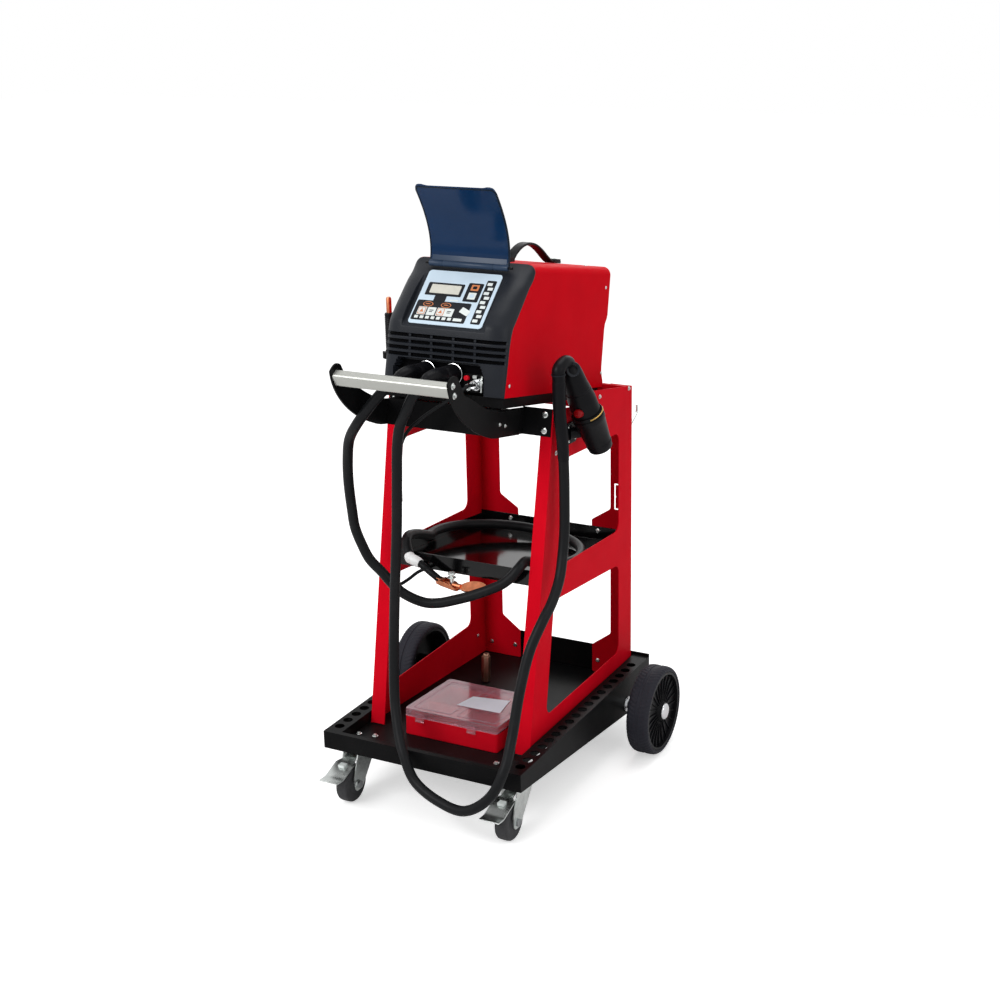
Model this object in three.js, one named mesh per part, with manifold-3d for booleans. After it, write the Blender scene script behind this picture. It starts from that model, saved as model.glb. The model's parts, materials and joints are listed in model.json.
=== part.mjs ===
// A dent pulling spot welder on its trolley, in millimetres, +Z up, the control panel facing -Y.
// The welding machine leans back on two side frames of bent sheet, over a cable tray and a base tray.
import * as THREE from 'three';
import { mergeVertices } from 'three/addons/utils/BufferGeometryUtils.js';
import Module from 'manifold-3d';

const wasm = await Module();
wasm.setup();

// Shared sizes
const clearance = 0.3;
const overrun = 5;
const radian = Math.PI / 180;
const sheet = 2;

// Trolley: a base tray that falls to the rear, and the plane that the machine leans back on
const base = {
  width: 460, length: 640, top: 162, rearTop: 168, frontEdge: 124, skirtShare: 0.1, floorFront: 145, fallShare: 0.065,
  ledge: 36, lip: 12, holeRadius: 8, holePitch: 32, holeInset: 18, holeFirst: 34,
  memberFront: 24, memberRear: 96, memberFoot: 121,
};
const lean = { angle: 10.5 * radian, y: 130, z: 880 };
const frame = {
  width: 378, rear: 630, frontPlane: 124, frontTop: -22, topFront: 300, topRise: 5, stepStart: 222,
  flangeTop: 25, flangeFoot: 33, rearFlange: 50, post: 66, rearPost: 68, cornerRadius: 18,
  gusset: 96, gussetRise: 30, slotWidth: 11, slotLow: 506, slotHigh: 567, slotInset: 30,
};
const upperWindow = { frontLow: 502, rearLow: 484, rearHigh: 706, frontHigh: 722 };
const lowerWindow = { low: 196, frontHigh: 436, rearHigh: 404 };
const footGusset = { high: 206, wide: 172 };
const trayGusset = { high: 506, wide: 476, wideLow: 432, low: 402 };
const tray = { front: 187.5, rear: 626.5, frontTop: 513, rearTop: 461, wall: 32, side: 24, reinforcement: 12 };

// Rear wheels and axle
const rear = { y: 513, radius: 98, inner: 269, width: 51, hubWidth: 60, hubRadius: 20, tyreDepth: 17, axleRadius: 10 };
const spokes = { count: 12, thickness: 2.4, web: 3 };
const cap = { radius: 18, height: 13, rim: 3 };

// Swivel casters with brake pedals
const caster = {
  x: 187, y: 60, trail: 32, radius: 40, width: 28, boltRadius: 5, boltHead: 9, boltHeadLength: 5,
  plateSize: 62, plateThickness: 3, raceRadius: 24, raceHeight: 4, forkTop: 113.5, forkThickness: 2.5,
  forkGap: 2.5, forkBack: 26, forkFront: 24, legFoot: 11, hubWidth: 32,
};
const brake = { width: 26, pivot: 101, reach: 86, drop: 22, tip: 28, thickness: 2.5, pinRadius: 3 };

// Handle: two curved arms, an aluminium bar between them and the panel that carries them
const panel = { halfWidth: 124, front: 15, low: -77, high: -24, shelf: 48, wing: 186 };
const arm = { thickness: 4, rear: 100, boltDrop: 52 };
const bar = { u: -179, w: 24, wide: 21, high: 28, slope: 38 * radian, wall: 3, radius: 6 };
const bridge = { front: 396, step: 474.5, rear: 500, low: -24, top: 6, lip: 18, cheek: 40, slotLength: 130, slotWidth: 5 };
const hook = { inset: 11, radius: 2.8, foot: 652, bendLow: 694, reach: 46, bendHigh: 716, tipReach: 52, tip: 738 };

// Machine, in the leaning frame: x across, u to the rear, w up from the cover's lower edge
const machine = {
  halfWidth: 135, height: 256, rear: 472, waistRear: 460, waistLow: 22, waistHigh: 146, corner: 18,
  skin: 1.2, panLow: -20, panRise: 8, footHeight: 3.7, footRadius: 11, footInset: 26, rearPanel: 446,
};
const nose = { corner: 42, wall: 3, shoulder: 92, recess: 9, recessLow: 122, recessHigh: 262, panelDepth: 24 };
// Front moulding's side view: height, front face and seam with the cover
const noseRows = [
  [0, 3, 13.6], [35, 0, 17], [68, -1, 20], [107, -4, 24], [129, -3, 30], [151, 8, 46],
  [179, 30, 67], [208, 57, 88], [230, 82, 107], [245, 99, 112], [256, 110, 112],
];
const vents = { rows: 4, columns: 5, first: 67, pitch: 12.7, height: 6, width: 41, gap: 7, centre: 0 };
const pocket = { left: -108, right: 94, low: -overrun, high: 60, depth: 24, chamfer: 12 };
const label = { halfWidth: 82, lowU: 1, lowW: 128, highU: 80, highW: 231, thickness: 1.4 };
const screen = { left: -62, right: 4, low: 73, high: 95, thickness: 1.2 };
const visor = { u: 86, w: 246, halfWidth: 88, bowU: 71, bowW: 314, tipU: 6, tipW: 392, thickness: 3, barrel: 6.5 };
const visorPin = { radius: 2.5, halfLength: 97 };
const strap = { x: 18, front: 222, peak: 300, back: 404, tail: 446, rise: 42, width: 20, thickness: 4.5, pad: 3 };

// Connections on the machine's front
const gland = { xs: [-38, 22], w: 36, radius: 19, bodyRadius: 14, rimRadius: 16, length: 30, rim: 4, face: 8 };
const connector = { left: 47, right: 89, low: 6, high: 41, thickness: 2, u: 10 };
const socket = { x: 76, w: 21, radius: 8.5, length: 16 };
const knob = { x: 57, w: 33, radius: 5, length: 8, travel: 3 };

// Inside and on the rear of the machine
const core = { halfWidth: 62, front: 170, rear: 320, high: 132, foot: 6, coilHalf: 84, coilFront: 196, coilRear: 294 };
const fan = { x: -52, w: 160, size: 120, depth: 38, bore: 57, hub: 19, bladeTip: 53, blades: 7, boss: 8, strut: 7 };
const mainSwitch = { x: 72, w: 176, plate: 22, shaft: 6, knob: 15, knobLength: 14, grip: 6 };
const inlet = { x: 72, w: 62, radius: 13, length: 22, thread: 9 };

// Gun in its holster on the right, slide hammer in its ring on the left
// Heights and depths of the gun's two ends, with how far each stands out from the side frame
const gun = { top: [280, 918], topOut: 17, foot: [357, 736], footOut: 50, radius: 24, waist: 29, nose: 15, bore: 4 };
const holster = { top: 0.6, wall: 2.6, topRadius: 33, footRadius: 25, plateY: 322, plateZ: 770, plate: 44 };
const elbow = { rise: 30, radius: 13 };
const trigger = { share: 0.53, radius: 9, length: 14, travel: 5, ahead: 26 };
const collar = { share: 0.52, radius: 32.5, height: 9 };
const hammer = {
  out: 16, y: 286, top: 1022, handleTop: 990, ring: 909, ringHeight: 14, ringRadius: 17, foot: 494,
  rodRadius: 5, handleRadius: 10, pinRadius: 4.5, collarLow: 874, collarRadius: 11, collarHeight: 14,
  threadTop: 580, tip: 30, tipRadius: 7, plate: 28, plateLow: 780,
};
const weight = { radius: 12, height: 110, seat: 590 };

// Cables
const cable = { radius: 10.5, sides: 8 };
const thin = { radius: 3.5, sides: 8 };
const coil = { x: 0, y: 388, halfX: 165, halfY: 170, pitch: 22, layer: 20, start: -20, end: 200, turns: 1, steps: 40 };
const clampSizes = { ferrule: 11, ferruleLength: 20, sleeve: 7.5, jaw: 26, jawThickness: 9, blade: 5, screw: 5 };

// Accessory case and hexagonal electrode on the base tray
const box = { left: -97, right: 122, front: 105, rear: 296, height: 40, lid: 17, wall: 2, pin: 2.2, divider: 1.6 };
const electrode = { x: -90, y: 450, radius: 10, bore: 6, height: 56, stem: 6, stemHeight: 12 };

// Route points chosen along each cable, from its gland
const earthRoute = [
  [-38, 74, 927], [-46, 56, 921], [-60, 40, 908], [-77, 28, 888], [-97, 23, 864], [-125, 23, 829], [-157, 42, 789],
  [-175, 60, 743], [-184, 72, 691], [-187, 84, 627], [-187, 92, 586], [-176, 98, 548], [-163, 104, 517],
  [-138, 110, 490], [-114, 116, 462], [-89, 120, 445], [-49, 126, 433], [-17, 130, 436], [18, 134, 447],
  [49, 140, 458], [94, 150, 478], [117, 155, 491], [134, 164, 507], [144, 177, 523], [147, 196, 529],
  [150, 222, 519], [154, 252, 503],
];
const gunRoute = [
  [22, 74, 927], [16, 56, 923], [5, 44, 909], [-8, 40, 890], [-23, 41, 862], [-43, 47, 826], [-54, 53, 787],
  [-60, 56, 714], [-68, 60, 608], [-77, 58, 480], [-79, 50, 374], [-71, 30, 251], [-46, 1, 188], [-27, -15, 158], [5, -30, 114],
  [71, -45, 89], [133, -54, 88], [187, -48, 128], [209, -29, 182], [206, 10, 229], [206, 50, 319], [212, 84, 392],
  [224, 120, 445], [227, 150, 468], [225, 190, 504], [222, 212, 545], [220, 226, 595], [217, 234, 658],
  [214, 239, 718], [210, 241, 778], [205, 240, 835], [204.5, 239, 880], [204.5, 239, 896],
];
const senseRoute = [
  [72, 84, 899], [60, 72, 888], [30, 68, 868], [-6, 68, 842], [-44, 73, 808], [-66, 78, 764], [-78, 84, 700],
  [-90, 92, 600], [-98, 102, 540], [-112, 122, 492], [-124, 140, 462], [-122, 150, 453], [-105, 155, 464], [-85, 161, 481],
];
const tailRoute = [
  [-143, 268, 522], [-140, 240, 531], [-136, 214, 536], [-130, 196, 533], [-121, 182, 524], [-111, 173, 513],
];

// Materials
const finish = (color, roughness, metalness = 0) => new THREE.MeshStandardMaterial({ color, roughness, metalness });
const red = finish('#c4101f', 0.35);
const blackSheet = finish('#16171a', 0.45);
const charcoal = finish('#3a3f49', 0.6);
const aluminium = finish('#c9ccd0', 0.35, 1);
const zinc = finish('#aab0b4', 0.4, 1);
const steel = finish('#8f9498', 0.35, 1);
const chrome = finish('#e4e6e8', 0.12, 1);
const rubber = finish('#2a2b2e', 0.85);
const blackPlastic = finish('#1c1d20', 0.55);
const cableRubber = finish('#26282b', 0.6);
const copper = finish('#b8683f', 0.4, 1);
const brass = finish('#b89a58', 0.4, 1);
const paleBlue = finish('#c3d3ea', 0.5);
const lcd = finish('#b9b9a8', 0.3);
const visorBlue = finish('#1d4470', 0.15);
const clearLid = finish('#d9b9c4', 0.1);
const redPlastic = finish('#c21a2b', 0.4);
const winding = finish('#9a5a2c', 0.5, 0.6);

// Solids: geometry to manifold and back
function solid(geometry) {
  const bare = geometry.clone();
  bare.deleteAttribute('normal');
  bare.deleteAttribute('uv');
  const merged = mergeVertices(bare);
  const index = merged.index.array;
  const triangles = [];
  for (let i = 0; i < index.length; i += 3) {
    const [a, b, c] = [index[i], index[i + 1], index[i + 2]];
    if (a !== b && b !== c && a !== c) triangles.push(a, b, c);
  }
  const build = (order) => new wasm.Manifold(new wasm.Mesh({
    numProp: 3,
    vertProperties: new Float32Array(merged.attributes.position.array),
    triVerts: new Uint32Array(order),
  }));
  const body = build(triangles);
  if (body.volume() > 0) return body;
  return build(triangles.reverse());
}
const joined = (...geometries) => geometries.map(solid).reduce((whole, next) => whole.add(next));
const cut = (whole, ...tools) => tools.reduce((rest, tool) => rest.subtract(tool), whole);

function surface(body) {
  const mesh = body.getMesh();
  const geometry = new THREE.BufferGeometry();
  geometry.setAttribute('position', new THREE.BufferAttribute(new Float32Array(mesh.vertProperties), mesh.numProp));
  geometry.setIndex(Array.from(mesh.triVerts));
  geometry.computeVertexNormals();
  return geometry;
}

// Basic forms
function block([x0, x1], [y0, y1], [z0, z1]) {
  const geometry = new THREE.BoxGeometry(x1 - x0, y1 - y0, z1 - z0);
  return geometry.translate((x0 + x1) / 2, (y0 + y1) / 2, (z0 + z1) / 2);
}
const both = (half) => [-half, half];
const vector = (point) => new THREE.Vector3(...point);
const upward = new THREE.Vector3(0, 1, 0);

function along(geometry, from, to) {
  const direction = vector(to).sub(vector(from)).normalize();
  geometry.applyQuaternion(new THREE.Quaternion().setFromUnitVectors(upward, direction));
  return geometry.translate(...from);
}
function rod(from, to, radius, sides = 20, farRadius = radius) {
  const length = vector(from).distanceTo(vector(to));
  const geometry = new THREE.CylinderGeometry(farRadius, radius, length, sides);
  return along(geometry.translate(0, length / 2, 0), from, to);
}
function turned(profile, from, to, sides = 24) {
  return along(new THREE.LatheGeometry(profile.map((p) => new THREE.Vector2(...p)), sides), from, to);
}
const ring = (inner, outer, low, high) => [[inner, low], [outer, low], [outer, high], [inner, high], [inner, low]];

// A closed outline whose corners are rounded
function outline(points, radius = 0, Kind = THREE.Shape) {
  const path = new Kind();
  const corners = points.map((p) => new THREE.Vector2(...p));
  corners.forEach((corner, i) => {
    const before = corners[(i + corners.length - 1) % corners.length];
    const after = corners[(i + 1) % corners.length];
    const reach = Math.min(radius, corner.distanceTo(before) / 2, corner.distanceTo(after) / 2);
    const start = corner.clone().add(before.clone().sub(corner).setLength(reach));
    const end = corner.clone().add(after.clone().sub(corner).setLength(reach));
    if (i) path.lineTo(start.x, start.y);
    else path.moveTo(start.x, start.y);
    if (reach > 0) path.quadraticCurveTo(corner.x, corner.y, end.x, end.y);
  });
  path.closePath();
  return path;
}
const extrude = (shape, depth) => new THREE.ExtrudeGeometry(shape, { depth, bevelEnabled: false, curveSegments: 4 });
const sideways = new THREE.Matrix4().set(0, 0, 1, 0, 1, 0, 0, 0, 0, 1, 0, 0, 0, 0, 0, 1);
const facing = new THREE.Matrix4().set(1, 0, 0, 0, 0, 0, -1, 0, 0, 1, 0, 0, 0, 0, 0, 1);
// A plate drawn in y and z, thick along x; and one drawn in x and z, thick along y
const sidePlate = (shape, [x0, x1]) => extrude(shape, x1 - x0).applyMatrix4(sideways).translate(x0, 0, 0);
const facePlate = (shape, [y0, y1]) => extrude(shape, y1 - y0).applyMatrix4(facing).translate(0, y1, 0);

function circle(x, y, radius, Kind = THREE.Path) {
  const path = new Kind();
  path.absarc(x, y, radius, 0, 2 * Math.PI, true);
  return path;
}
const rectangle = (x0, x1, y0, y1) => [[x0, y0], [x1, y0], [x1, y1], [x0, y1]];

// A tube along a smooth curve
function tube(points, radius, sides, steps) {
  const curve = new THREE.CatmullRomCurve3(points.map(vector), false, 'centripetal');
  const section = new THREE.Shape();
  for (let i = 0; i < sides; i += 1) {
    const angle = (2 * Math.PI * i) / sides;
    const [x, y] = [radius * Math.cos(angle), radius * Math.sin(angle)];
    if (i) section.lineTo(x, y);
    else section.moveTo(x, y);
  }
  return new THREE.ExtrudeGeometry(section, { steps, extrudePath: curve, bevelEnabled: false });
}

// Groups: the trolley holds all, the head leans back, the tray and the floor fall to the rear
const trolley = new THREE.Group();
const placed = (y, z, angle) => {
  const group = new THREE.Group();
  group.position.set(0, y, z);
  group.rotation.x = -angle;
  group.updateMatrix();
  trolley.add(group);
  return group;
};
const head = placed(lean.y, lean.z, lean.angle);
const trayAngle = Math.atan((tray.frontTop - tray.rearTop) / (tray.rear - tray.front));
const shelf = placed(tray.front, tray.frontTop - tray.wall * Math.cos(trayAngle), trayAngle);
const floorAngle = Math.atan(base.fallShare);
const deck = placed(0, base.floorFront, floorAngle);
const floorAt = (y) => base.floorFront - base.fallShare * y;
const skirtAt = (y) => base.frontEdge - base.skirtShare * y;
// A point of the leaning frame as y and z of the trolley
const leaned = (u, w) => [
  lean.y + u * Math.cos(lean.angle) + w * Math.sin(lean.angle),
  lean.z - u * Math.sin(lean.angle) + w * Math.cos(lean.angle),
];
const inHead = (geometry) => geometry.clone().applyMatrix4(head.matrix);

function add(group, name, body, material) {
  const mesh = new THREE.Mesh(surface(body), material);
  mesh.name = name;
  group.add(mesh);
  return mesh;
}
const sides = [['left', -1], ['right', 1]];
const mirrored = (mesh, side) => mesh.scale.set(side, 1, 1);

// Base tray: sloping floor, pierced ledges on both sides, deep side walls and a cross member
const halfBase = base.width / 2;
const innerHalf = halfBase - base.ledge;
const skirt = (y0, y1, top) => outline([[y0, skirtAt(y0)], [y1, skirtAt(y1)], [y1, top], [y0, top]]);
const innerWall = outline([
  [0, floorAt(0) - sheet], [base.length, floorAt(base.length) - sheet], [base.length, base.top], [0, base.top],
]);
const floorPlate = outline([
  [0, floorAt(0) - sheet], [base.length, floorAt(base.length) - sheet],
  [base.length, floorAt(base.length)], [0, floorAt(0)],
]);
function ledgePlate() {
  const shape = outline(rectangle(innerHalf, halfBase, 0, base.length));
  for (let y = base.holeFirst; y < base.length - base.holePitch; y += base.holePitch) {
    shape.holes.push(circle(halfBase - base.holeInset, y, base.holeRadius));
  }
  return new THREE.ExtrudeGeometry(shape, { depth: sheet, bevelEnabled: false, curveSegments: 3 })
    .translate(0, 0, base.top - sheet);
}
const ledgeSide = joined(
  ledgePlate(),
  sidePlate(skirt(0, base.length, base.top), [halfBase - sheet, halfBase]),
  sidePlate(innerWall, [innerHalf - sheet, innerHalf]),
);
const crossMember = joined(
  block(both(halfBase - sheet / 2), [base.memberFront, base.memberRear], [base.memberFoot, base.memberFoot + sheet]),
  block(both(halfBase - sheet / 2), [base.memberFront, base.memberFront + sheet], [base.memberFoot, floorAt(base.memberFront)]),
  block(both(halfBase - sheet / 2), [base.memberRear - sheet, base.memberRear], [base.memberFoot - sheet, floorAt(base.memberRear)]),
);
const axleHole = solid(rod([-halfBase - overrun, rear.y, rear.radius], [halfBase + overrun, rear.y, rear.radius],
  rear.axleRadius + clearance, 32));
const baseTray = [
  sidePlate(floorPlate, both(innerHalf)),
  facePlate(outline(rectangle(-halfBase, halfBase, base.frontEdge, base.top)), [0, sheet]),
  facePlate(outline(rectangle(-halfBase, halfBase, skirtAt(base.length), base.rearTop)), [base.length - sheet, base.length]),
  block(both(innerHalf), [0, base.lip], [base.top - sheet, base.top]),
].map(solid).reduce((whole, next) => whole.add(next), ledgeSide.add(ledgeSide.mirror([1, 0, 0])).add(crossMember));
add(trolley, 'base_tray', cut(baseTray, axleHole), blackSheet);

// Side frames: one bent sheet each, with a leaning front flange, a rear flange and two windows
const halfFrame = frame.width / 2;
const hookX = halfFrame - hook.inset;
const hammerX = -halfFrame - hammer.out;
const gunTop = [halfFrame + gun.topOut, ...gun.top];
const gunFoot = [halfFrame + gun.footOut, ...gun.foot];
const frontEdge = (z) => {
  const w = (z - lean.z + frame.frontPlane * Math.sin(lean.angle)) / Math.cos(lean.angle);
  return leaned(frame.frontPlane, w)[0];
};
const footZ = floorAt(frontEdge(base.floorFront)) + clearance;
const frontTop = leaned(frame.frontPlane, frame.frontTop);
const windowRear = frame.rear - frame.rearPost;
const sideOutline = outline([
  [frontEdge(footZ), footZ], [frame.rear, floorAt(frame.rear) + clearance],
  [frame.rear, leaned(bridge.rear, frame.topRise)[1]], leaned(frame.topFront, frame.topRise),
  leaned(frame.stepStart, frame.frontTop), frontTop,
]);
sideOutline.holes.push(outline([
  [frontEdge(upperWindow.frontLow) + frame.post, upperWindow.frontLow], [windowRear, upperWindow.rearLow],
  [windowRear, upperWindow.rearHigh], [frontEdge(upperWindow.frontHigh) + frame.post, upperWindow.frontHigh],
], frame.cornerRadius, THREE.Path));
sideOutline.holes.push(outline([
  [frontEdge(lowerWindow.low) + frame.post, lowerWindow.low], [windowRear, lowerWindow.low],
  [windowRear, lowerWindow.rearHigh], [frontEdge(lowerWindow.frontHigh) + frame.post, lowerWindow.frontHigh],
], frame.cornerRadius, THREE.Path));
const postFoot = (footZ - lean.z + frame.frontPlane * Math.sin(lean.angle)) / Math.cos(lean.angle);
const frontFlange = facePlate(outline([
  [halfFrame - frame.flangeFoot, postFoot + sheet], [halfFrame, postFoot + sheet], [halfFrame, frame.frontTop],
  [halfFrame - frame.flangeTop, frame.frontTop],
]), [frame.frontPlane, frame.frontPlane + sheet]);
const rearInner = halfFrame - frame.rearFlange;
const gussetInner = halfFrame - frame.gusset;
const flangeTopZ = leaned(bridge.rear, frame.topRise)[1];
const flangeFoot = floorAt(frame.rear - sheet) + clearance;
const rearOutline = outline([
  [halfFrame, flangeFoot], [gussetInner, flangeFoot], [gussetInner, footGusset.wide],
  [rearInner, footGusset.high], [rearInner, trayGusset.low], [gussetInner, trayGusset.wideLow],
  [gussetInner, trayGusset.wide], [rearInner, trayGusset.high], [rearInner, flangeTopZ], [halfFrame, flangeTopZ],
]);
rearOutline.holes.push(outline(rectangle(
  halfFrame - frame.slotInset - frame.slotWidth, halfFrame - frame.slotInset, frame.slotLow, frame.slotHigh,
), frame.slotWidth / 2, THREE.Path));
const frameSheet = joined(
  sidePlate(sideOutline, [halfFrame - sheet, halfFrame]),
  inHead(frontFlange),
  facePlate(rearOutline, [frame.rear - sheet, frame.rear]),
);
for (const [name, side] of sides) {
  mirrored(add(trolley, `side_frame_${name}`, frameSheet, red), side);
}

// Middle tray, in the frame that falls with its floor
const trayLength = (tray.rear - tray.front) / Math.cos(trayAngle);
const trayHalf = halfFrame - sheet - clearance;
const rearShift = tray.wall * Math.sin(trayAngle);
const middleTray = joined(
  block(both(trayHalf), [0, trayLength - rearShift], [0, sheet]),
  block(both(trayHalf), [0, sheet], [0, tray.wall]),
  block(both(trayHalf), [trayLength - rearShift - sheet, trayLength - rearShift], [0, tray.wall]),
  block([-trayHalf, sheet - trayHalf], [0, trayLength - rearShift], [0, tray.side]),
  block([trayHalf - sheet, trayHalf], [0, trayLength - rearShift], [0, tray.side]),
  block(both(trayHalf), [0, tray.reinforcement], [0, sheet + sheet]),
);
add(shelf, 'middle_tray', middleTray, blackSheet);

// Front panel: a hat of sheet between the arms, bolted to the front flanges by its wings
const wingFace = frame.frontPlane - clearance;
const hat = joined(
  block(both(panel.halfWidth), [panel.front, panel.front + sheet], [panel.low, panel.high]),
  block(both(panel.halfWidth), [panel.front, panel.front + panel.shelf], [panel.high - sheet, panel.high]),
);
const hatSide = joined(
  block([panel.halfWidth - sheet, panel.halfWidth], [panel.front, wingFace], [panel.low, panel.high]),
  block([panel.halfWidth - sheet, panel.wing], [wingFace - sheet, wingFace], [panel.low, frame.frontTop]),
);
add(head, 'front_panel', hat.add(hatSide).add(hatSide.mirror([1, 0, 0])), blackSheet);

// Handle arms: curved plates outside the panel's sides
const armInner = panel.halfWidth + clearance;
const armShape = new THREE.Shape();
armShape.moveTo(arm.rear, panel.low);
armShape.lineTo(arm.rear, panel.high - sheet);
armShape.lineTo(panel.front - sheet, panel.high - sheet);
armShape.bezierCurveTo(bar.u + 120, panel.high + 2, bar.u + 84, bar.w - 18, bar.u + 46, bar.w - 12);
armShape.lineTo(bar.u + 14, bar.w + 24);
armShape.quadraticCurveTo(bar.u - 4, bar.w + 34, bar.u - 20, bar.w + 12);
armShape.bezierCurveTo(bar.u - 6, bar.w - 36, bar.u + 60, panel.low + 22, panel.front - 48, panel.low + 5);
armShape.quadraticCurveTo(panel.front - 30, panel.low, panel.front - 10, panel.low);
armShape.closePath();
const armPlate = solid(sidePlate(armShape, [armInner, armInner + arm.thickness]));
for (const [name, side] of sides) {
  mirrored(add(head, `handle_arm_${name}`, armPlate, blackSheet), side);
}

// Handle bar: a rectangular aluminium tube, turned to lie with the arms' noses
const barHalf = armInner - clearance;
const tubeBar = (inset, half) => {
  const shape = outline(rectangle(
    inset - bar.wide / 2, bar.wide / 2 - inset, inset - bar.high / 2, bar.high / 2 - inset,
  ), bar.radius - inset);
  return sidePlate(shape, both(half)).rotateX(bar.slope).translate(0, bar.u, bar.w);
};
add(head, 'handle_bar', cut(solid(tubeBar(0, barHalf)), solid(tubeBar(bar.wall, barHalf + overrun))), aluminium);

// Rear bridge: carries the machine's rear feet, steps up behind it and ends in a slotted top plate
const bridgeHalf = halfFrame - sheet - clearance;
const bridgeParts = joined(
  block(both(bridgeHalf), [bridge.front, bridge.step + sheet], [bridge.low - sheet, bridge.low]),
  block(both(bridgeHalf), [bridge.step, bridge.step + sheet], [bridge.low - sheet, bridge.top]),
  block(both(bridgeHalf), [bridge.step, bridge.rear], [bridge.top - sheet, bridge.top]),
  block(both(bridgeHalf), [bridge.rear - sheet, bridge.rear], [bridge.top - bridge.lip, bridge.top]),
  block(both(bridgeHalf), [bridge.front, bridge.front + sheet], [bridge.low - bridge.lip, bridge.low]),
);
const cheek = solid(block([bridgeHalf - sheet, bridgeHalf], [bridge.front, bridge.step],
  [bridge.low - bridge.cheek, bridge.low]));
const bridgeMiddle = (bridge.step + sheet + bridge.rear - sheet) / 2;
const bridgeSlots = [];
for (const [, side] of sides) {
  for (const row of [-1, 1]) {
    const u = bridgeMiddle + row * bridge.slotWidth;
    const x = (side * (bridgeHalf + sheet)) / 2;
    bridgeSlots.push(solid(block([x - bridge.slotLength / 2, x + bridge.slotLength / 2],
      [u - bridge.slotWidth / 2, u + bridge.slotWidth / 2], [bridge.top - overrun, bridge.top + overrun])));
  }
}
add(head, 'rear_bridge', cut(bridgeParts.add(cheek).add(cheek.mirror([1, 0, 0])), ...bridgeSlots), blackSheet);

// Cable hook: a bent rod on the right frame's rear flange
const hookY = frame.rear + 4 * clearance + hook.radius;
add(trolley, 'cable_hook', solid(tube([
  [hookX, hookY, hook.foot], [hookX, hookY, hook.bendLow - hook.radius], [hookX, hookY + hook.radius, hook.bendLow],
  [hookX, frame.rear + hook.reach, hook.bendHigh],
  [hookX, frame.rear + hook.tipReach, hook.bendHigh + 2 * hook.radius], [hookX, frame.rear + hook.tipReach, hook.tip],
], hook.radius, 8, 15)), zinc);

// Rear axle with its pressed caps, and the two wheels
const wheelOuter = rear.inner + rear.width;
const hubMiddle = rear.inner + rear.width / 2;
const hubOuter = hubMiddle + rear.hubWidth / 2;
const axle = solid(rod([-hubOuter - cap.rim, rear.y, rear.radius], [hubOuter + cap.rim, rear.y, rear.radius],
  rear.axleRadius, 20));
const capProfile = [[0, 0], [cap.radius, 0], [cap.radius, cap.rim]];
for (let i = 1; i <= 4; i += 1) {
  const angle = (i / 4) * (Math.PI / 2);
  capProfile.push([(cap.radius - cap.rim) * Math.cos(angle), cap.rim + (cap.height - cap.rim) * Math.sin(angle)]);
}
const washer = rear.inner - clearance - halfBase;
let axleBody = axle;
for (const [, side] of sides) {
  const foot = side * (hubOuter + clearance);
  axleBody = axleBody.add(solid(turned(capProfile, [foot, rear.y, rear.radius], [foot + side, rear.y, rear.radius], 16)));
  axleBody = axleBody.add(solid(turned([[0, 0], [rear.hubRadius - cap.rim, 0], [rear.hubRadius - cap.rim, cap.rim], [0, cap.rim]],
    [side * (halfBase + clearance), rear.y, rear.radius], [side * (halfBase + washer), rear.y, rear.radius], 16)));
}
add(trolley, 'rear_axle', axleBody, chrome);

const rimRadius = rear.radius - rear.tyreDepth;
const tread = 3;
const tyreProfile = [
  [rimRadius, tread], [rear.radius - 2 * tread, 0], [rear.radius, 2 * tread], [rear.radius, rear.width - 2 * tread],
  [rear.radius - 2 * tread, rear.width], [rimRadius, rear.width - tread], [rimRadius, tread],
];
const boreRadius = rear.axleRadius + clearance;
function wheelCentre() {
  const rim = turned(ring(rimRadius - 2 * spokes.web, rimRadius - clearance, 0, rear.width), [rear.inner, 0, 0], [wheelOuter, 0, 0], 30);
  const web = turned(ring(boreRadius, rimRadius - spokes.web, 0, spokes.web), [hubMiddle, 0, 0], [wheelOuter, 0, 0], 30);
  const hub = turned(ring(boreRadius, rear.hubRadius, 0, rear.hubWidth), [hubOuter - rear.hubWidth, 0, 0], [hubOuter, 0, 0], 20);
  let whole = joined(rim, web, hub);
  for (let i = 0; i < spokes.count; i += 1) {
    const spoke = block([hubMiddle - rear.width / 3, hubMiddle + rear.width / 3], both(spokes.thickness / 2),
      [rear.hubRadius - spokes.web, rimRadius - spokes.web]);
    whole = whole.add(solid(spoke.rotateX((2 * Math.PI * i) / spokes.count)));
  }
  return whole;
}
const centreBody = wheelCentre();
const tyreBody = solid(turned(tyreProfile, [rear.inner, 0, 0], [wheelOuter, 0, 0], 40));
for (const [name, side] of sides) {
  for (const [part, body, material] of [['tyre', tyreBody, rubber], ['wheel', centreBody, blackPlastic]]) {
    const mesh = add(trolley, `rear_${part}_${name}`, body, material);
    mesh.position.set(0, rear.y, rear.radius);
    mirrored(mesh, side);
  }
}

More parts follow.
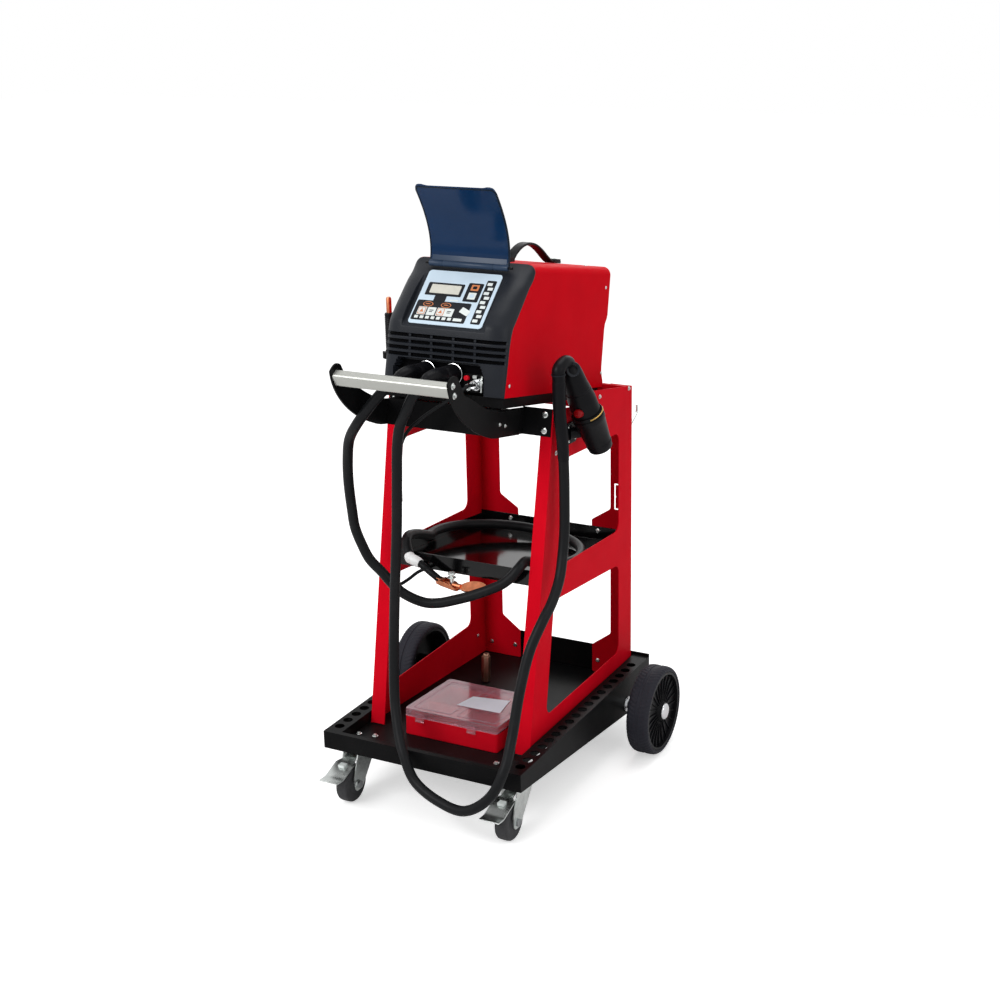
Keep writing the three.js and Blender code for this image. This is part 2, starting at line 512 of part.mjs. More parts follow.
// Casters
const boltHalf = caster.hubWidth / 2 + caster.forkGap / 5 + caster.forkThickness;
const forkInner = caster.hubWidth / 2 + caster.forkGap / 5;
const plateTop = base.memberFoot - clearance;
const plateLow = plateTop - caster.plateThickness;
const axleY = -caster.trail;
const casterPlate = joined(
  block(both(caster.plateSize / 2), both(caster.plateSize / 2), [plateLow, plateTop]),
  turned([[0, 0], [caster.raceRadius, 0], [caster.raceRadius - caster.raceHeight, caster.raceHeight],
    [0, caster.raceHeight + sheet / 2]], [0, 0, plateLow - caster.raceHeight], [0, 0, plateLow]),
);
const forkHigh = plateLow - caster.raceHeight;
const legOutline = outline([
  [-caster.forkFront, forkHigh], [caster.forkBack, forkHigh], [caster.forkBack, forkHigh - caster.forkBack],
  [axleY + caster.legFoot, caster.radius - caster.legFoot], [axleY - caster.legFoot, caster.radius - caster.legFoot],
  [axleY - caster.legFoot, caster.radius + caster.legFoot],
], caster.legFoot / 2);
const legPlate = (side) => {
  const [near, far] = [side * forkInner, side * (forkInner + caster.forkThickness)];
  return sidePlate(legOutline, [Math.min(near, far), Math.max(near, far)]);
};
const forkOuter = forkInner + caster.forkThickness;
const casterFork = joined(
  block(both(forkOuter), [-caster.forkFront, caster.forkBack], [forkHigh - caster.forkThickness, forkHigh - clearance]),
  legPlate(-1),
  legPlate(1),
).subtract(solid(rod([-forkOuter - overrun, axleY, caster.radius], [forkOuter + overrun, axleY, caster.radius],
  caster.boltRadius + clearance, 16)));
const edge = 4;
const casterWheel = solid(turned([
  [caster.boltRadius + clearance, -caster.hubWidth / 2], [caster.radius / 2, -caster.hubWidth / 2],
  [caster.radius / 2 + edge, edge / 2 - caster.width / 2], [caster.radius - edge, -caster.width / 2],
  [caster.radius, edge - caster.width / 2], [caster.radius, caster.width / 2 - edge],
  [caster.radius - edge, caster.width / 2], [caster.radius / 2 + edge, caster.width / 2 - edge / 2],
  [caster.radius / 2, caster.hubWidth / 2], [caster.boltRadius + clearance, caster.hubWidth / 2],
  [caster.boltRadius + clearance, -caster.hubWidth / 2],
], [0, 0, 0], [1, 0, 0], 24));
const headFrom = boltHalf + clearance;
const casterBolt = joined(
  rod([-headFrom - caster.boltHeadLength, 0, 0], [headFrom + caster.boltHeadLength, 0, 0], caster.boltRadius, 16),
  rod([-headFrom - caster.boltHeadLength, 0, 0], [-headFrom, 0, 0], caster.boltHead, 6),
  rod([headFrom, 0, 0], [headFrom + caster.boltHeadLength, 0, 0], caster.boltHead, 6),
);
// The pedal: a bent plate on a cross pin under the fork's crown
const pedalSide = outline([
  [0, 0], [-brake.reach, -brake.drop], [-brake.reach - brake.tip, -brake.drop],
  [-brake.reach - brake.tip, brake.thickness - brake.drop], [-brake.reach, brake.thickness - brake.drop],
  [0, 2 * brake.thickness],
]);
const casterBrake = joined(
  sidePlate(pedalSide, both(brake.width / 2)),
  rod([clearance - forkInner, 0, brake.pinRadius], [forkInner - clearance, 0, brake.pinRadius], brake.pinRadius, 12),
);
for (const [name, side] of sides) {
  const parts = [
    ['plate', casterPlate, zinc, 0, 0], ['fork', casterFork, zinc, 0, 0],
    ['wheel', casterWheel, rubber, axleY, caster.radius], ['bolt', casterBolt, steel, axleY, caster.radius],
    ['brake', casterBrake, zinc, -brake.pinRadius, brake.pivot - brake.pinRadius],
  ];
  for (const [part, body, material, y, z] of parts) {
    add(trolley, `caster_${part}_${name}`, body, material).position.set(side * caster.x, caster.y + y, z);
  }
}

// Machine pan with its feet
const panHalf = machine.halfWidth - machine.skin - clearance;
const panRear = machine.rearPanel + sheet + clearance + sheet;
const feet = [];
for (const x of [machine.footInset - panHalf, panHalf - machine.footInset]) {
  for (const u of [panel.front + 1.2 * machine.footRadius + sheet, bridge.front + 2 * machine.footRadius]) {
    feet.push(rod([x, u, machine.panLow - machine.footHeight], [x, u, machine.panLow + sheet / 2], machine.footRadius, 16));
  }
}
const panFront = nose.panelDepth;
const pan = joined(
  block(both(panHalf), [panel.front, panRear], [machine.panLow, machine.panLow + sheet]),
  block(both(panHalf), [panel.front, panel.front + sheet], [machine.panLow, -2 * clearance]),
  block(both(panHalf), [panRear - sheet, panRear], [machine.panLow, machine.panRise]),
  block([-panHalf, sheet - panHalf], [panFront, panRear], [machine.panLow, machine.panRise]),
  block([panHalf - sheet, panHalf], [panFront, panRear], [machine.panLow, machine.panRise]),
  block([-panHalf, sheet - panHalf], [panel.front, panFront + sheet], [machine.panLow, -2 * clearance]),
  block([panHalf - sheet, panHalf], [panel.front, panFront + sheet], [machine.panLow, -2 * clearance]),
  ...feet,
);
add(head, 'machine_pan', pan, blackSheet);

// Machine cover: a folded sheet whose front edge follows the seam
function archOutline(inset, low) {
  const half = machine.halfWidth - inset;
  const top = machine.height - inset;
  const radius = machine.corner - inset;
  const shape = new THREE.Shape();
  shape.moveTo(-half, low);
  shape.lineTo(half, low);
  shape.lineTo(half, top - radius);
  shape.absarc(half - radius, top - radius, radius, 0, Math.PI / 2, false);
  shape.lineTo(radius - half, top);
  shape.absarc(radius - half, top - radius, radius, Math.PI / 2, Math.PI, false);
  shape.closePath();
  return shape;
}
const arch = (inset, low, span) => solid(facePlate(archOutline(inset, low), span));
const coverSide = outline([
  ...noseRows.map(([w, , seam]) => [seam + clearance, w]),
  [machine.rear, machine.height], [machine.rear, machine.waistHigh], [machine.waistRear, machine.waistHigh - machine.corner],
  [machine.waistRear, machine.waistLow + machine.corner], [machine.rear - clearance, machine.waistLow - machine.corner / 2],
  [machine.rear - clearance, 0],
]);
const coverPrism = solid(sidePlate(coverSide, both(machine.halfWidth + overrun)));
const fullSpan = [-overrun, machine.rear + overrun];
const cover = cut(arch(0, 0, fullSpan), arch(machine.skin, -overrun, fullSpan)).intersect(coverPrism);
add(head, 'machine_cover', cover, red);

// Front moulding: a lofted shell with rounded corners, a recessed panel field, vents and a cable pocket
function loft(inset, back) {
  const half = machine.halfWidth - inset;
  const radius = nose.corner - inset;
  const arcSteps = 3;
  const rows = noseRows.map(([w, front, seam], i) => {
    const face = Math.min(front + inset, seam + back - 1);
    const turn = Math.min(radius, seam + back - face);
    const level = i === 0 ? w - (inset ? overrun : 0) : Math.min(w, machine.height - inset);
    const row = [[half, seam + back]];
    for (let j = 0; j <= arcSteps; j += 1) {
      const angle = (j / arcSteps) * (Math.PI / 2);
      row.push([half - radius * (1 - Math.cos(angle)), face + turn * (1 - Math.sin(angle))]);
    }
    const left = row.map(([x, u]) => [-x, u]).reverse();
    return [...row, ...left].map(([x, u]) => [x, u, level]);
  });
  const count = rows[0].length;
  const positions = rows.flat().flat();
  const faces = [];
  for (let i = 0; i < rows.length - 1; i += 1) {
    for (let j = 0; j < count; j += 1) {
      const next = (j + 1) % count;
      const [a, b, c, d] = [i * count + j, i * count + next, (i + 1) * count + next, (i + 1) * count + j];
      faces.push(a, b, c, a, c, d);
    }
  }
  const last = (rows.length - 1) * count;
  for (let j = 1; j < count / 2; j += 1) {
    const [a, b, c, d] = [j - 1, j, count - 1 - j, count - j];
    faces.push(a, c, b, a, d, c, last + a, last + b, last + c, last + a, last + c, last + d);
  }
  const geometry = new THREE.BufferGeometry();
  geometry.setAttribute('position', new THREE.BufferAttribute(new Float32Array(positions), 3));
  geometry.setIndex(faces);
  return solid(geometry);
}
const labelAngle = Math.atan2(label.highW - label.lowW, label.highU - label.lowU);
const labelLength = Math.hypot(label.highU - label.lowU, label.highW - label.lowW);
// Moves a piece drawn flat, v up the label and thickness outward, onto the sloping label field
const ontoLabel = (geometry) => geometry.rotateX(labelAngle).translate(0, label.lowU, label.lowW);
const field = solid(ontoLabel(block(both(nose.shoulder),
  [-overrun - sheet, labelLength + nose.corner], [-label.thickness / 3, nose.corner * 2])));
const fieldBack = solid(ontoLabel(block(both(nose.shoulder + nose.wall),
  [-overrun - sheet - nose.wall, labelLength + overrun * 2], [-nose.wall - label.thickness / 3, 0])));
const shell = loft(0, 0).intersect(arch(0, 0, fullSpan));
const hollow = loft(nose.wall, overrun).intersect(arch(nose.wall, -overrun, fullSpan));
let moulding = cut(shell, hollow).add(fieldBack.intersect(shell)).subtract(field);
const ventFirst = vents.centre - ((vents.columns - 1) / 2) * (vents.width + vents.gap);
for (let row = 0; row < vents.rows; row += 1) {
  for (let column = 0; column < vents.columns; column += 1) {
    const x = ventFirst + column * (vents.width + vents.gap);
    const w = vents.first + row * vents.pitch - vents.height / 2;
    moulding = moulding.subtract(solid(block([x - vents.width / 2, x + vents.width / 2],
      [-nose.corner, nose.corner], [w, w + vents.height])));
  }
}
function pocketBlock(grow, low, span) {
  const [left, right, high] = [pocket.left - grow, pocket.right + grow, pocket.high + grow];
  return solid(facePlate(outline([[left, low], [right, low], [right, high - 2 * pocket.chamfer],
    [right - pocket.chamfer, high], [left + pocket.chamfer, high], [left, high - 2 * pocket.chamfer]]), span));
}
const pocketHole = pocketBlock(0, pocket.low, [-nose.corner, pocket.depth - sheet]);
const pocketShell = pocketBlock(nose.wall, 0, [nose.wall / 2, pocket.depth]);
moulding = moulding.add(pocketShell).subtract(pocketHole);
const pinHole = solid(rod([-visorPin.halfLength - clearance, visor.u, visor.w],
  [visorPin.halfLength + clearance, visor.u, visor.w], visorPin.radius + clearance, 12));
const ear = (side) => solid(block([side * nose.shoulder, side * (visorPin.halfLength + sheet)].sort((a, b) => a - b),
  [visor.u - visor.barrel, visor.u + visor.barrel * 2], [visor.w - visor.barrel * 2, visor.w + visor.barrel]));
moulding = moulding.add(ear(-1).intersect(arch(0, 0, fullSpan))).add(ear(1).intersect(arch(0, 0, fullSpan))).subtract(pinHole);
add(head, 'front_moulding', moulding, charcoal);

// Control label and its display
add(head, 'control_panel', solid(ontoLabel(extrude(outline(
  rectangle(-label.halfWidth, label.halfWidth, 0, labelLength), overrun,
), label.thickness).translate(0, 0, clearance))), paleBlue);
add(head, 'display_window', solid(ontoLabel(block([screen.left, screen.right], [screen.low, screen.high],
  [label.thickness + 2 * clearance, label.thickness + 2 * clearance + screen.thickness]))), lcd);

// Visor, raised: a curved sheet on a hinge barrel, and its pin
const visorCurve = new THREE.QuadraticBezierCurve(
  new THREE.Vector2(visor.u, visor.w),
  new THREE.Vector2(2 * visor.bowU - (visor.u + visor.tipU) / 2, 2 * visor.bowW - (visor.w + visor.tipW) / 2),
  new THREE.Vector2(visor.tipU, visor.tipW),
);
const visorPoints = visorCurve.getPoints(14);
const visorBack = visorPoints.map((point, i) => {
  const tangent = visorCurve.getTangent(i / 14);
  return [point.x + tangent.y * visor.thickness, point.y - tangent.x * visor.thickness];
});
const visorShape = outline([...visorPoints.map((p) => [p.x, p.y]), ...visorBack.reverse()]);
const visorBody = joined(
  sidePlate(visorShape, both(visor.halfWidth)),
  rod([-visor.halfWidth, visor.u, visor.w], [visor.halfWidth, visor.u, visor.w], visor.barrel, 16),
);
const barrelBore = solid(rod([-visorPin.halfLength, visor.u, visor.w], [visorPin.halfLength, visor.u, visor.w],
  visorPin.radius + clearance / 3, 12));
add(head, 'visor', cut(visorBody, barrelBore), visorBlue);
add(head, 'visor_pin', solid(rod([-visorPin.halfLength, visor.u, visor.w], [visorPin.halfLength, visor.u, visor.w],
  visorPin.radius, 12)), steel);

// Carry strap: an arched band with flat ends on the cover's top
const strapFoot = machine.height + clearance;
function strapCurve(lift) {
  const level = strapFoot + lift;
  const points = [[strap.front - strap.pad * 8, level], [strap.front, level], [strap.front + 18, level + strap.rise / 2],
    [strap.peak - 12, level + strap.rise], [strap.peak + 22, level + strap.rise - 2],
    [strap.back - 18, level + strap.rise / 3], [strap.back, level], [strap.tail, level]];
  return new THREE.SplineCurve(points.map((p) => new THREE.Vector2(...p))).getPoints(28);
}
const strapLow = strapCurve(0).map((p) => [p.x, Math.max(p.y, strapFoot)]);
const strapHigh = strapCurve(strap.thickness).map((p) => [p.x, Math.max(p.y, strapFoot + strap.thickness)]);
add(head, 'carry_strap', solid(sidePlate(outline([...strapLow, ...strapHigh.reverse()]),
  [strap.x - strap.width / 2, strap.x + strap.width / 2])), blackPlastic);

// Cable glands: a body and a rim, dipping forwards from the pocket's back
const glandBack = pocket.depth - sheet - clearance;
gland.xs.forEach((x, i) => {
  const body = joined(
    rod([x, glandBack, gland.w], [x, gland.face, gland.w], gland.bodyRadius, 16),
    rod([x, gland.face + gland.rim, gland.w], [x, gland.face, gland.w], gland.radius, 20),
    rod([x, gland.face + gland.rim, gland.w], [x, gland.face - gland.length, gland.w], gland.bodyRadius, 16),
    rod([x, gland.face - gland.length + gland.rim, gland.w], [x, gland.face - gland.length, gland.w], gland.rimRadius, 16),
  ).subtract(solid(rod([x, gland.face - gland.rim, gland.w], [x, -nose.corner, gland.w], cable.radius + clearance, 16)));
  add(head, `cable_gland_${i ? 'right' : 'left'}`, body, steel);
});

// Connector plate with the sense socket and the push knob
const plateBack = pocket.depth - sheet - clearance;
const connectorBody = joined(
  block([connector.left, connector.right], [connector.u - connector.thickness, connector.u], [connector.low, connector.high]),
  block([connector.left, connector.left + connector.thickness], [connector.u - connector.thickness, plateBack], [connector.low, connector.high]),
  block([connector.right - connector.thickness, connector.right], [connector.u - connector.thickness, plateBack], [connector.low, connector.high]),
).subtract(solid(rod([knob.x, -overrun, knob.w], [knob.x, plateBack, knob.w], knob.radius / 2 + clearance, 16)));
add(head, 'connector_plate', connectorBody, steel);
const plateFace = connector.u - connector.thickness - clearance;
add(head, 'sense_socket', joined(
  rod([socket.x, plateFace, socket.w], [socket.x, plateFace - socket.length, socket.w], socket.radius, 20),
  rod([socket.x, plateFace, socket.w], [socket.x, plateFace - socket.length / 4, socket.w], socket.radius * 1.3, 20),
), zinc);
add(head, 'aux_knob', joined(
  rod([knob.x, plateFace - knob.travel, knob.w], [knob.x, plateFace - knob.travel - knob.length, knob.w], knob.radius, 16),
  rod([knob.x, plateFace - knob.travel - clearance, knob.w], [knob.x, connector.u + clearance, knob.w], knob.radius / 2, 16),
), redPlastic);

// Transformer on the pan: a laminated core with a coil round its middle limb
const coreLow = machine.panLow + sheet + clearance;
const transformer = joined(
  block(both(core.halfWidth), [core.front, core.rear], [coreLow, core.high]),
  block(both(core.coilHalf), [core.coilFront, core.coilRear], [coreLow + core.foot * 3, core.high - core.foot * 3]),
  block(both(core.coilHalf), [core.front - core.foot, core.rear + core.foot], [coreLow, coreLow + core.foot]),
);
add(head, 'transformer', transformer, winding);

// Rear panel, fan, main switch and the mains gland
const rearHalf = panHalf - sheet - clearance;
const rearPlate = new THREE.Shape();
rearPlate.moveTo(-rearHalf, machine.panLow + sheet + clearance);
rearPlate.lineTo(rearHalf, machine.panLow + sheet + clearance);
rearPlate.lineTo(rearHalf, machine.height - machine.corner);
rearPlate.lineTo(rearHalf - machine.corner, machine.height - machine.skin - clearance);
rearPlate.lineTo(machine.corner - rearHalf, machine.height - machine.skin - clearance);
rearPlate.lineTo(-rearHalf, machine.height - machine.corner);
rearPlate.closePath();
const throughRear = (x, w, radius) => solid(rod([x, machine.rearPanel - overrun, w],
  [x, machine.rearPanel + overrun, w], radius + clearance, 20));
let rearPanelBody = cut(solid(facePlate(rearPlate, [machine.rearPanel, machine.rearPanel + sheet])),
  throughRear(inlet.x, inlet.w, inlet.thread), throughRear(mainSwitch.x, mainSwitch.w, mainSwitch.shaft));
const grilleBars = 8;
for (let i = 0; i < grilleBars; i += 1) {
  const w = fan.w + (i - (grilleBars - 1) / 2) * ((2 * fan.bore) / grilleBars);
  const reach = Math.sqrt(fan.bore ** 2 - (w - fan.w) ** 2);
  rearPanelBody = rearPanelBody.subtract(solid(block([fan.x - reach, fan.x + reach],
    [machine.rearPanel - overrun, machine.rearPanel + overrun], [w - fan.bore / grilleBars / 2, w + fan.bore / grilleBars / 2])));
}
add(head, 'machine_rear_panel', rearPanelBody, blackSheet);

const fanBack = machine.rearPanel - clearance;
const fanFront = fanBack - fan.depth;
const fanShape = outline(rectangle(-fan.size / 2, fan.size / 2, -fan.size / 2, fan.size / 2), overrun);
const strutSpan = [fanBack - fan.strut, fanBack];
const fanFrame = cut(solid(facePlate(fanShape, [fanFront, fanBack])),
  solid(rod([0, fanFront - overrun, 0], [0, fanBack + overrun, 0], fan.bore, 28))).add(joined(
  block(both(fan.bore + sheet), strutSpan, both(fan.strut / 2)),
  block(both(fan.strut / 2), strutSpan, both(fan.bore + sheet)),
  rod([0, fanBack, 0], [0, fanBack - fan.strut, 0], fan.hub, 24),
  rod([0, fanBack, 0], [0, fanFront + 3 * overrun, 0], fan.boss / 2, 16),
));
add(head, 'fan_frame', fanFrame, blackPlastic).position.set(fan.x, 0, fan.w);
const rotorBack = fanBack - fan.strut - clearance;
let rotor = cut(solid(rod([0, rotorBack, 0], [0, fanFront + overrun, 0], fan.hub, 24)),
  solid(rod([0, rotorBack + overrun, 0], [0, fanFront + 3 * overrun - clearance, 0], fan.boss / 2 + clearance / 3, 16)));
for (let i = 0; i < fan.blades; i += 1) {
  const blade = block([fan.hub - sheet, fan.bladeTip], both(fan.strut * 1.4), both(sheet / 2));
  const middle = (rotorBack + fanFront + overrun) / 2;
  rotor = rotor.add(solid(blade.rotateX(40 * radian).rotateY((2 * Math.PI * i) / fan.blades).translate(0, middle, 0)));
}
add(head, 'fan_rotor', rotor, blackPlastic).position.set(fan.x, 0, fan.w);

const panelFace = machine.rearPanel + sheet;
const switchFace = panelFace + clearance;
add(head, 'main_switch', joined(
  rod([mainSwitch.x, panelFace - 2 * overrun, mainSwitch.w], [mainSwitch.x, switchFace + sheet, mainSwitch.w], mainSwitch.shaft, 16),
  rod([mainSwitch.x, switchFace, mainSwitch.w], [mainSwitch.x, switchFace + mainSwitch.knobLength / 2, mainSwitch.w], mainSwitch.knob, 20),
  block([mainSwitch.x - mainSwitch.grip / 2, mainSwitch.x + mainSwitch.grip / 2],
    [switchFace, switchFace + mainSwitch.knobLength], [mainSwitch.w - mainSwitch.knob, mainSwitch.w + mainSwitch.knob]),
), blackPlastic);
add(head, 'mains_gland', joined(
  rod([inlet.x, panelFace - 2 * overrun, inlet.w], [inlet.x, panelFace + overrun, inlet.w], inlet.thread, 20),
  rod([inlet.x, switchFace, inlet.w], [inlet.x, switchFace + inlet.length / 2, inlet.w], inlet.radius, 6),
  rod([inlet.x, switchFace, inlet.w], [inlet.x, switchFace + inlet.length, inlet.w], inlet.radius - sheet, 20),
), blackPlastic);

// Holster cup, gun, its brass collar and its trigger, on the right
const gunAt = (share) => gunTop.map((value, i) => value + (gunFoot[i] - value) * share);
const gunLength = vector(gunTop).distanceTo(vector(gunFoot));
const cupLength = gunLength * (1 - holster.top);
const cupProfile = [
  [0, -holster.wall - clearance], [holster.footRadius, -holster.wall - clearance], [holster.topRadius, cupLength],
  [holster.topRadius - holster.wall, cupLength], [holster.footRadius - holster.wall, 0], [0, 0],
];
const cup = turned(cupProfile, gunFoot, gunTop, 22);
const plateX = halfFrame + clearance;
const cupPlate = block([plateX, plateX + sheet], [holster.plateY - holster.plate / 2, holster.plateY + holster.plate / 2],
  [holster.plateZ - holster.plate / 2, holster.plateZ + holster.plate / 2]);
const cupMiddle = gunAt((1 + holster.top) / 2);
const stem = rod([plateX + sheet / 2, holster.plateY, holster.plateZ], cupMiddle, holster.footRadius / 2, 16);
const cupSpace = solid(turned([[0, 0], [holster.footRadius - holster.wall, 0], [holster.topRadius - holster.wall, cupLength],
  [0, cupLength]], gunFoot, gunTop, 22));
const besidePlate = solid(block([0, plateX], [0, frame.rear], [0, lean.z]));
add(trolley, 'holster', cut(joined(cup, cupPlate, stem), cupSpace, besidePlate), blackPlastic);

const nozzleEnd = clearance;
const gunProfile = [
  [0, nozzleEnd], [gun.nose / 2, nozzleEnd], [gun.nose, gun.nose], [gun.nose, cupLength / 2],
  [gun.radius, cupLength * 0.8], [gun.waist, cupLength + collar.height], [gun.waist, gunLength * 0.62],
  [gun.radius, gunLength * 0.78], [gun.radius - 2 * sheet, gunLength * 0.97], [gun.radius / 2, gunLength * 1.03],
  [0, gunLength * 1.05],
];
const cordEnd = gunRoute[gunRoute.length - 1];
const crown = gunAt(0.02);
const elbowCurve = [
  gunAt(0.12), crown, [crown[0], crown[1] - 4, crown[2] + elbow.rise / 3],
  [crown[0], (crown[1] + cordEnd[1]) / 2, crown[2] + elbow.rise / 2],
  [cordEnd[0], cordEnd[1], crown[2] + elbow.rise / 6], [cordEnd[0], cordEnd[1], cordEnd[2] + clearance],
];
const triggerSeat = gunAt(trigger.share);
const triggerHole = solid(rod([triggerSeat[0], triggerSeat[1] - 2 * trigger.ahead, triggerSeat[2]],
  [triggerSeat[0], triggerSeat[1] - trigger.ahead / 2, triggerSeat[2]], trigger.radius + clearance, 20));
const gunBody = joined(turned(gunProfile, gunFoot, gunTop, 18), tube(elbowCurve, elbow.radius, 8, 8));
add(trolley, 'gun_body', cut(gunBody, triggerHole), blackPlastic);
add(trolley, 'gun_trigger', solid(rod(
  [triggerSeat[0], triggerSeat[1] - trigger.ahead - trigger.length + trigger.travel, triggerSeat[2]],
  [triggerSeat[0], triggerSeat[1] - trigger.ahead / 2 - trigger.travel - clearance, triggerSeat[2]], trigger.radius, 20,
)), redPlastic);
add(trolley, 'gun_collar', solid(turned(
  ring(gun.waist + clearance, collar.radius, cupLength + clearance, cupLength + collar.height - clearance),
  gunFoot, gunTop, 24,
)), brass);

// Slide hammer in its ring on the left
const ringLow = hammer.ring - hammer.ringHeight;
const holderPlateX = -halfFrame - clearance;
const holder = joined(
  turned(ring(hammer.rodRadius + 2 * clearance, hammer.ringRadius, 0, hammer.ringHeight),
    [hammerX, hammer.y, ringLow], [hammerX, hammer.y, hammer.ring], 24),
  block([holderPlateX - sheet, holderPlateX], [hammer.y - hammer.plate / 2, hammer.y + hammer.plate / 2],
    [hammer.plateLow, hammer.ring]),
).subtract(solid(rod([hammerX, hammer.y, ringLow - overrun], [hammerX, hammer.y, hammer.ring + overrun],
  hammer.rodRadius + clearance, 20))).subtract(solid(block([hammerX - hammer.ringRadius - overrun, hammerX],
  [hammer.y - hammer.rodRadius - clearance, hammer.y + hammer.rodRadius + clearance],
  [ringLow - overrun, hammer.ring + overrun])));
add(trolley, 'tool_holder', holder, blackSheet);
const hammerPart = (low, high, radius, count = 16) => rod([hammerX, hammer.y, low], [hammerX, hammer.y, high], radius, count);
add(trolley, 'slide_hammer', joined(
  hammerPart(hammer.foot, hammer.top, hammer.rodRadius),
  hammerPart(hammer.ring + clearance, hammer.handleTop, hammer.handleRadius),
  hammerPart(hammer.collarLow, hammer.collarLow + hammer.collarHeight, hammer.collarRadius),
  hammerPart(hammer.threadTop, weight.seat - clearance, weight.radius),
  hammerPart(hammer.foot + hammer.tip, hammer.threadTop, hammer.rodRadius + sheet / 2),
  hammerPart(hammer.foot, hammer.foot + hammer.tip, hammer.tipRadius),
), steel);
add(trolley, 'hammer_weight', solid(turned(ring(hammer.rodRadius + clearance, weight.radius, 0, weight.height),
  [hammerX, hammer.y, weight.seat], [hammerX, hammer.y, weight.seat + weight.height], 24)), blackPlastic);

// Earth cable: the free stretch, then the coil in the middle tray with its tail over the front wall
const coilSteps = coil.turns * coil.steps;
const sweep = (coil.turns - 1) * 360 + coil.end - coil.start;
const coilLow = sheet + clearance + cable.radius;
const shelfPoint = (x, y, z) => vector([x, y - tray.front, z]).applyMatrix4(shelf.matrix).toArray();
const coilPath = [];
for (let i = 0; i <= coilSteps; i += 1) {
  const turned = (i / coilSteps) * sweep;
  const angle = (coil.start + turned) * radian;
  const inset = (coil.pitch * Math.min(turned, sweep - turned)) / 360;
  const climb = THREE.MathUtils.clamp((turned - sweep / 2) / 180 + 0.5, 0, 1);
  const smooth = climb * climb * (3 - 2 * climb);
  coilPath.push(shelfPoint(coil.x + (coil.halfX - inset) * Math.cos(angle),
    coil.y + (coil.halfY - inset) * Math.sin(angle), coilLow + coil.layer * smooth));
}
const coilPoints = [...coilPath, ...tailRoute];
const coilCurve = new THREE.CatmullRomCurve3(coilPoints.map(vector), false, 'centripetal');
function leastGap(curve, diameter) {
  const samples = curve.getSpacedPoints(coilSteps * 6);
  const spacing = curve.getLength() / (coilSteps * 6);
  const apart = Math.ceil((diameter * 3) / spacing);
  let least = Infinity;
  for (let i = 0; i < samples.length; i += 1) {
    for (let j = i + apart; j < samples.length; j += 1) least = Math.min(least, samples[i].distanceTo(samples[j]));
  }
  return least - diameter;
}
console.log(`least gap between the coil's loops: ${leastGap(coilCurve, 2 * cable.radius).toFixed(2)} mm`);
const coilStart = coilPath[0];
const coilNext = coilPath[1];
const approach = vector(coilStart).sub(vector(coilNext)).normalize();
const joint = vector(coilStart).addScaledVector(approach, clearance);
const entry = joint.clone().addScaledVector(approach, 2 * cable.radius);
// The two ends that leave a gland or a socket straight, along the machine's own axis
const leaving = (x, w, from, to) => [from, to].map((u) => [x, ...leaned(u, w)]);
const mouth = gland.face - gland.rim - clearance;
const [earthStart, gunStart] = gland.xs.map((x) => leaving(x, gland.w, mouth, mouth - gland.length - overrun));
const earthCurve = [...earthStart, ...earthRoute, entry.toArray(), joint.toArray()];
const socketFace = connector.u - connector.thickness - 2 * clearance - socket.length;
const senseStart = leaving(socket.x, socket.w, socketFace, socketFace - 4 * thin.radius);
add(trolley, 'earth_cable', solid(tube(earthCurve, cable.radius, cable.sides, 40)), cableRubber);
add(trolley, 'earth_coil', solid(tube(coilPoints, cable.radius, 6, coilSteps + tailRoute.length * 2)), cableRubber);
add(trolley, 'gun_cable', solid(tube([...gunStart, ...gunRoute], cable.radius, cable.sides, 56)), cableRubber);
add(trolley, 'sense_cable', solid(tube([...senseStart, ...senseRoute], thin.radius, thin.sides, 34)), cableRubber);

// Earth clamp: ferrule, sleeve, copper jaw and blade in line, and the jaw's screw
const tailEnd = vector(tailRoute[tailRoute.length - 1]);
const tailDirection = tailEnd.clone().sub(vector(tailRoute[tailRoute.length - 2])).normalize();
const ferruleStart = tailEnd.clone().addScaledVector(tailDirection, clearance);
const ferruleEnd = ferruleStart.clone().addScaledVector(tailDirection, clampSizes.ferruleLength / 2);
const clampPath = [[-100, 168, 505], [-80, 165, 500], [-33, 160, 474], [16, 157, 466], [74, 158, 478]];
const [ferruleOut, sleeveFrom, jawFrom, jawTo, bladeTo] = clampPath;
const clampBody = joined(
  rod(ferruleStart.toArray(), ferruleEnd.toArray(), clampSizes.ferrule - sheet, 20),
  rod(ferruleEnd.toArray(), sleeveFrom, clampSizes.ferrule, 20),
  rod(ferruleOut, jawFrom, clampSizes.sleeve, 20),
  rod(jawFrom, jawTo, clampSizes.jaw / 2, 4),
  rod(vector(jawTo).lerp(vector(jawFrom), 0.1).toArray(), bladeTo, clampSizes.jaw / 3, 4, clampSizes.blade),
);
const screwFoot = vector(jawFrom).lerp(vector(jawTo), 0.62);
const screwTop = screwFoot.clone().add(vector([0, 0, clampSizes.jaw]));
const screwHole = solid(rod(screwFoot.toArray(), screwTop.toArray(), clampSizes.screw + clearance, 16));
add(trolley, 'earth_clamp', cut(clampBody, screwHole), copper);
add(trolley, 'clamp_screw', joined(
  rod(screwFoot.clone().add(vector([0, 0, clearance])).toArray(), screwTop.toArray(), clampSizes.screw, 16),
  rod(screwTop.clone().sub(vector([0, 0, clampSizes.screw])).toArray(), screwTop.toArray(), clampSizes.screw * 1.7, 6),
), zinc);

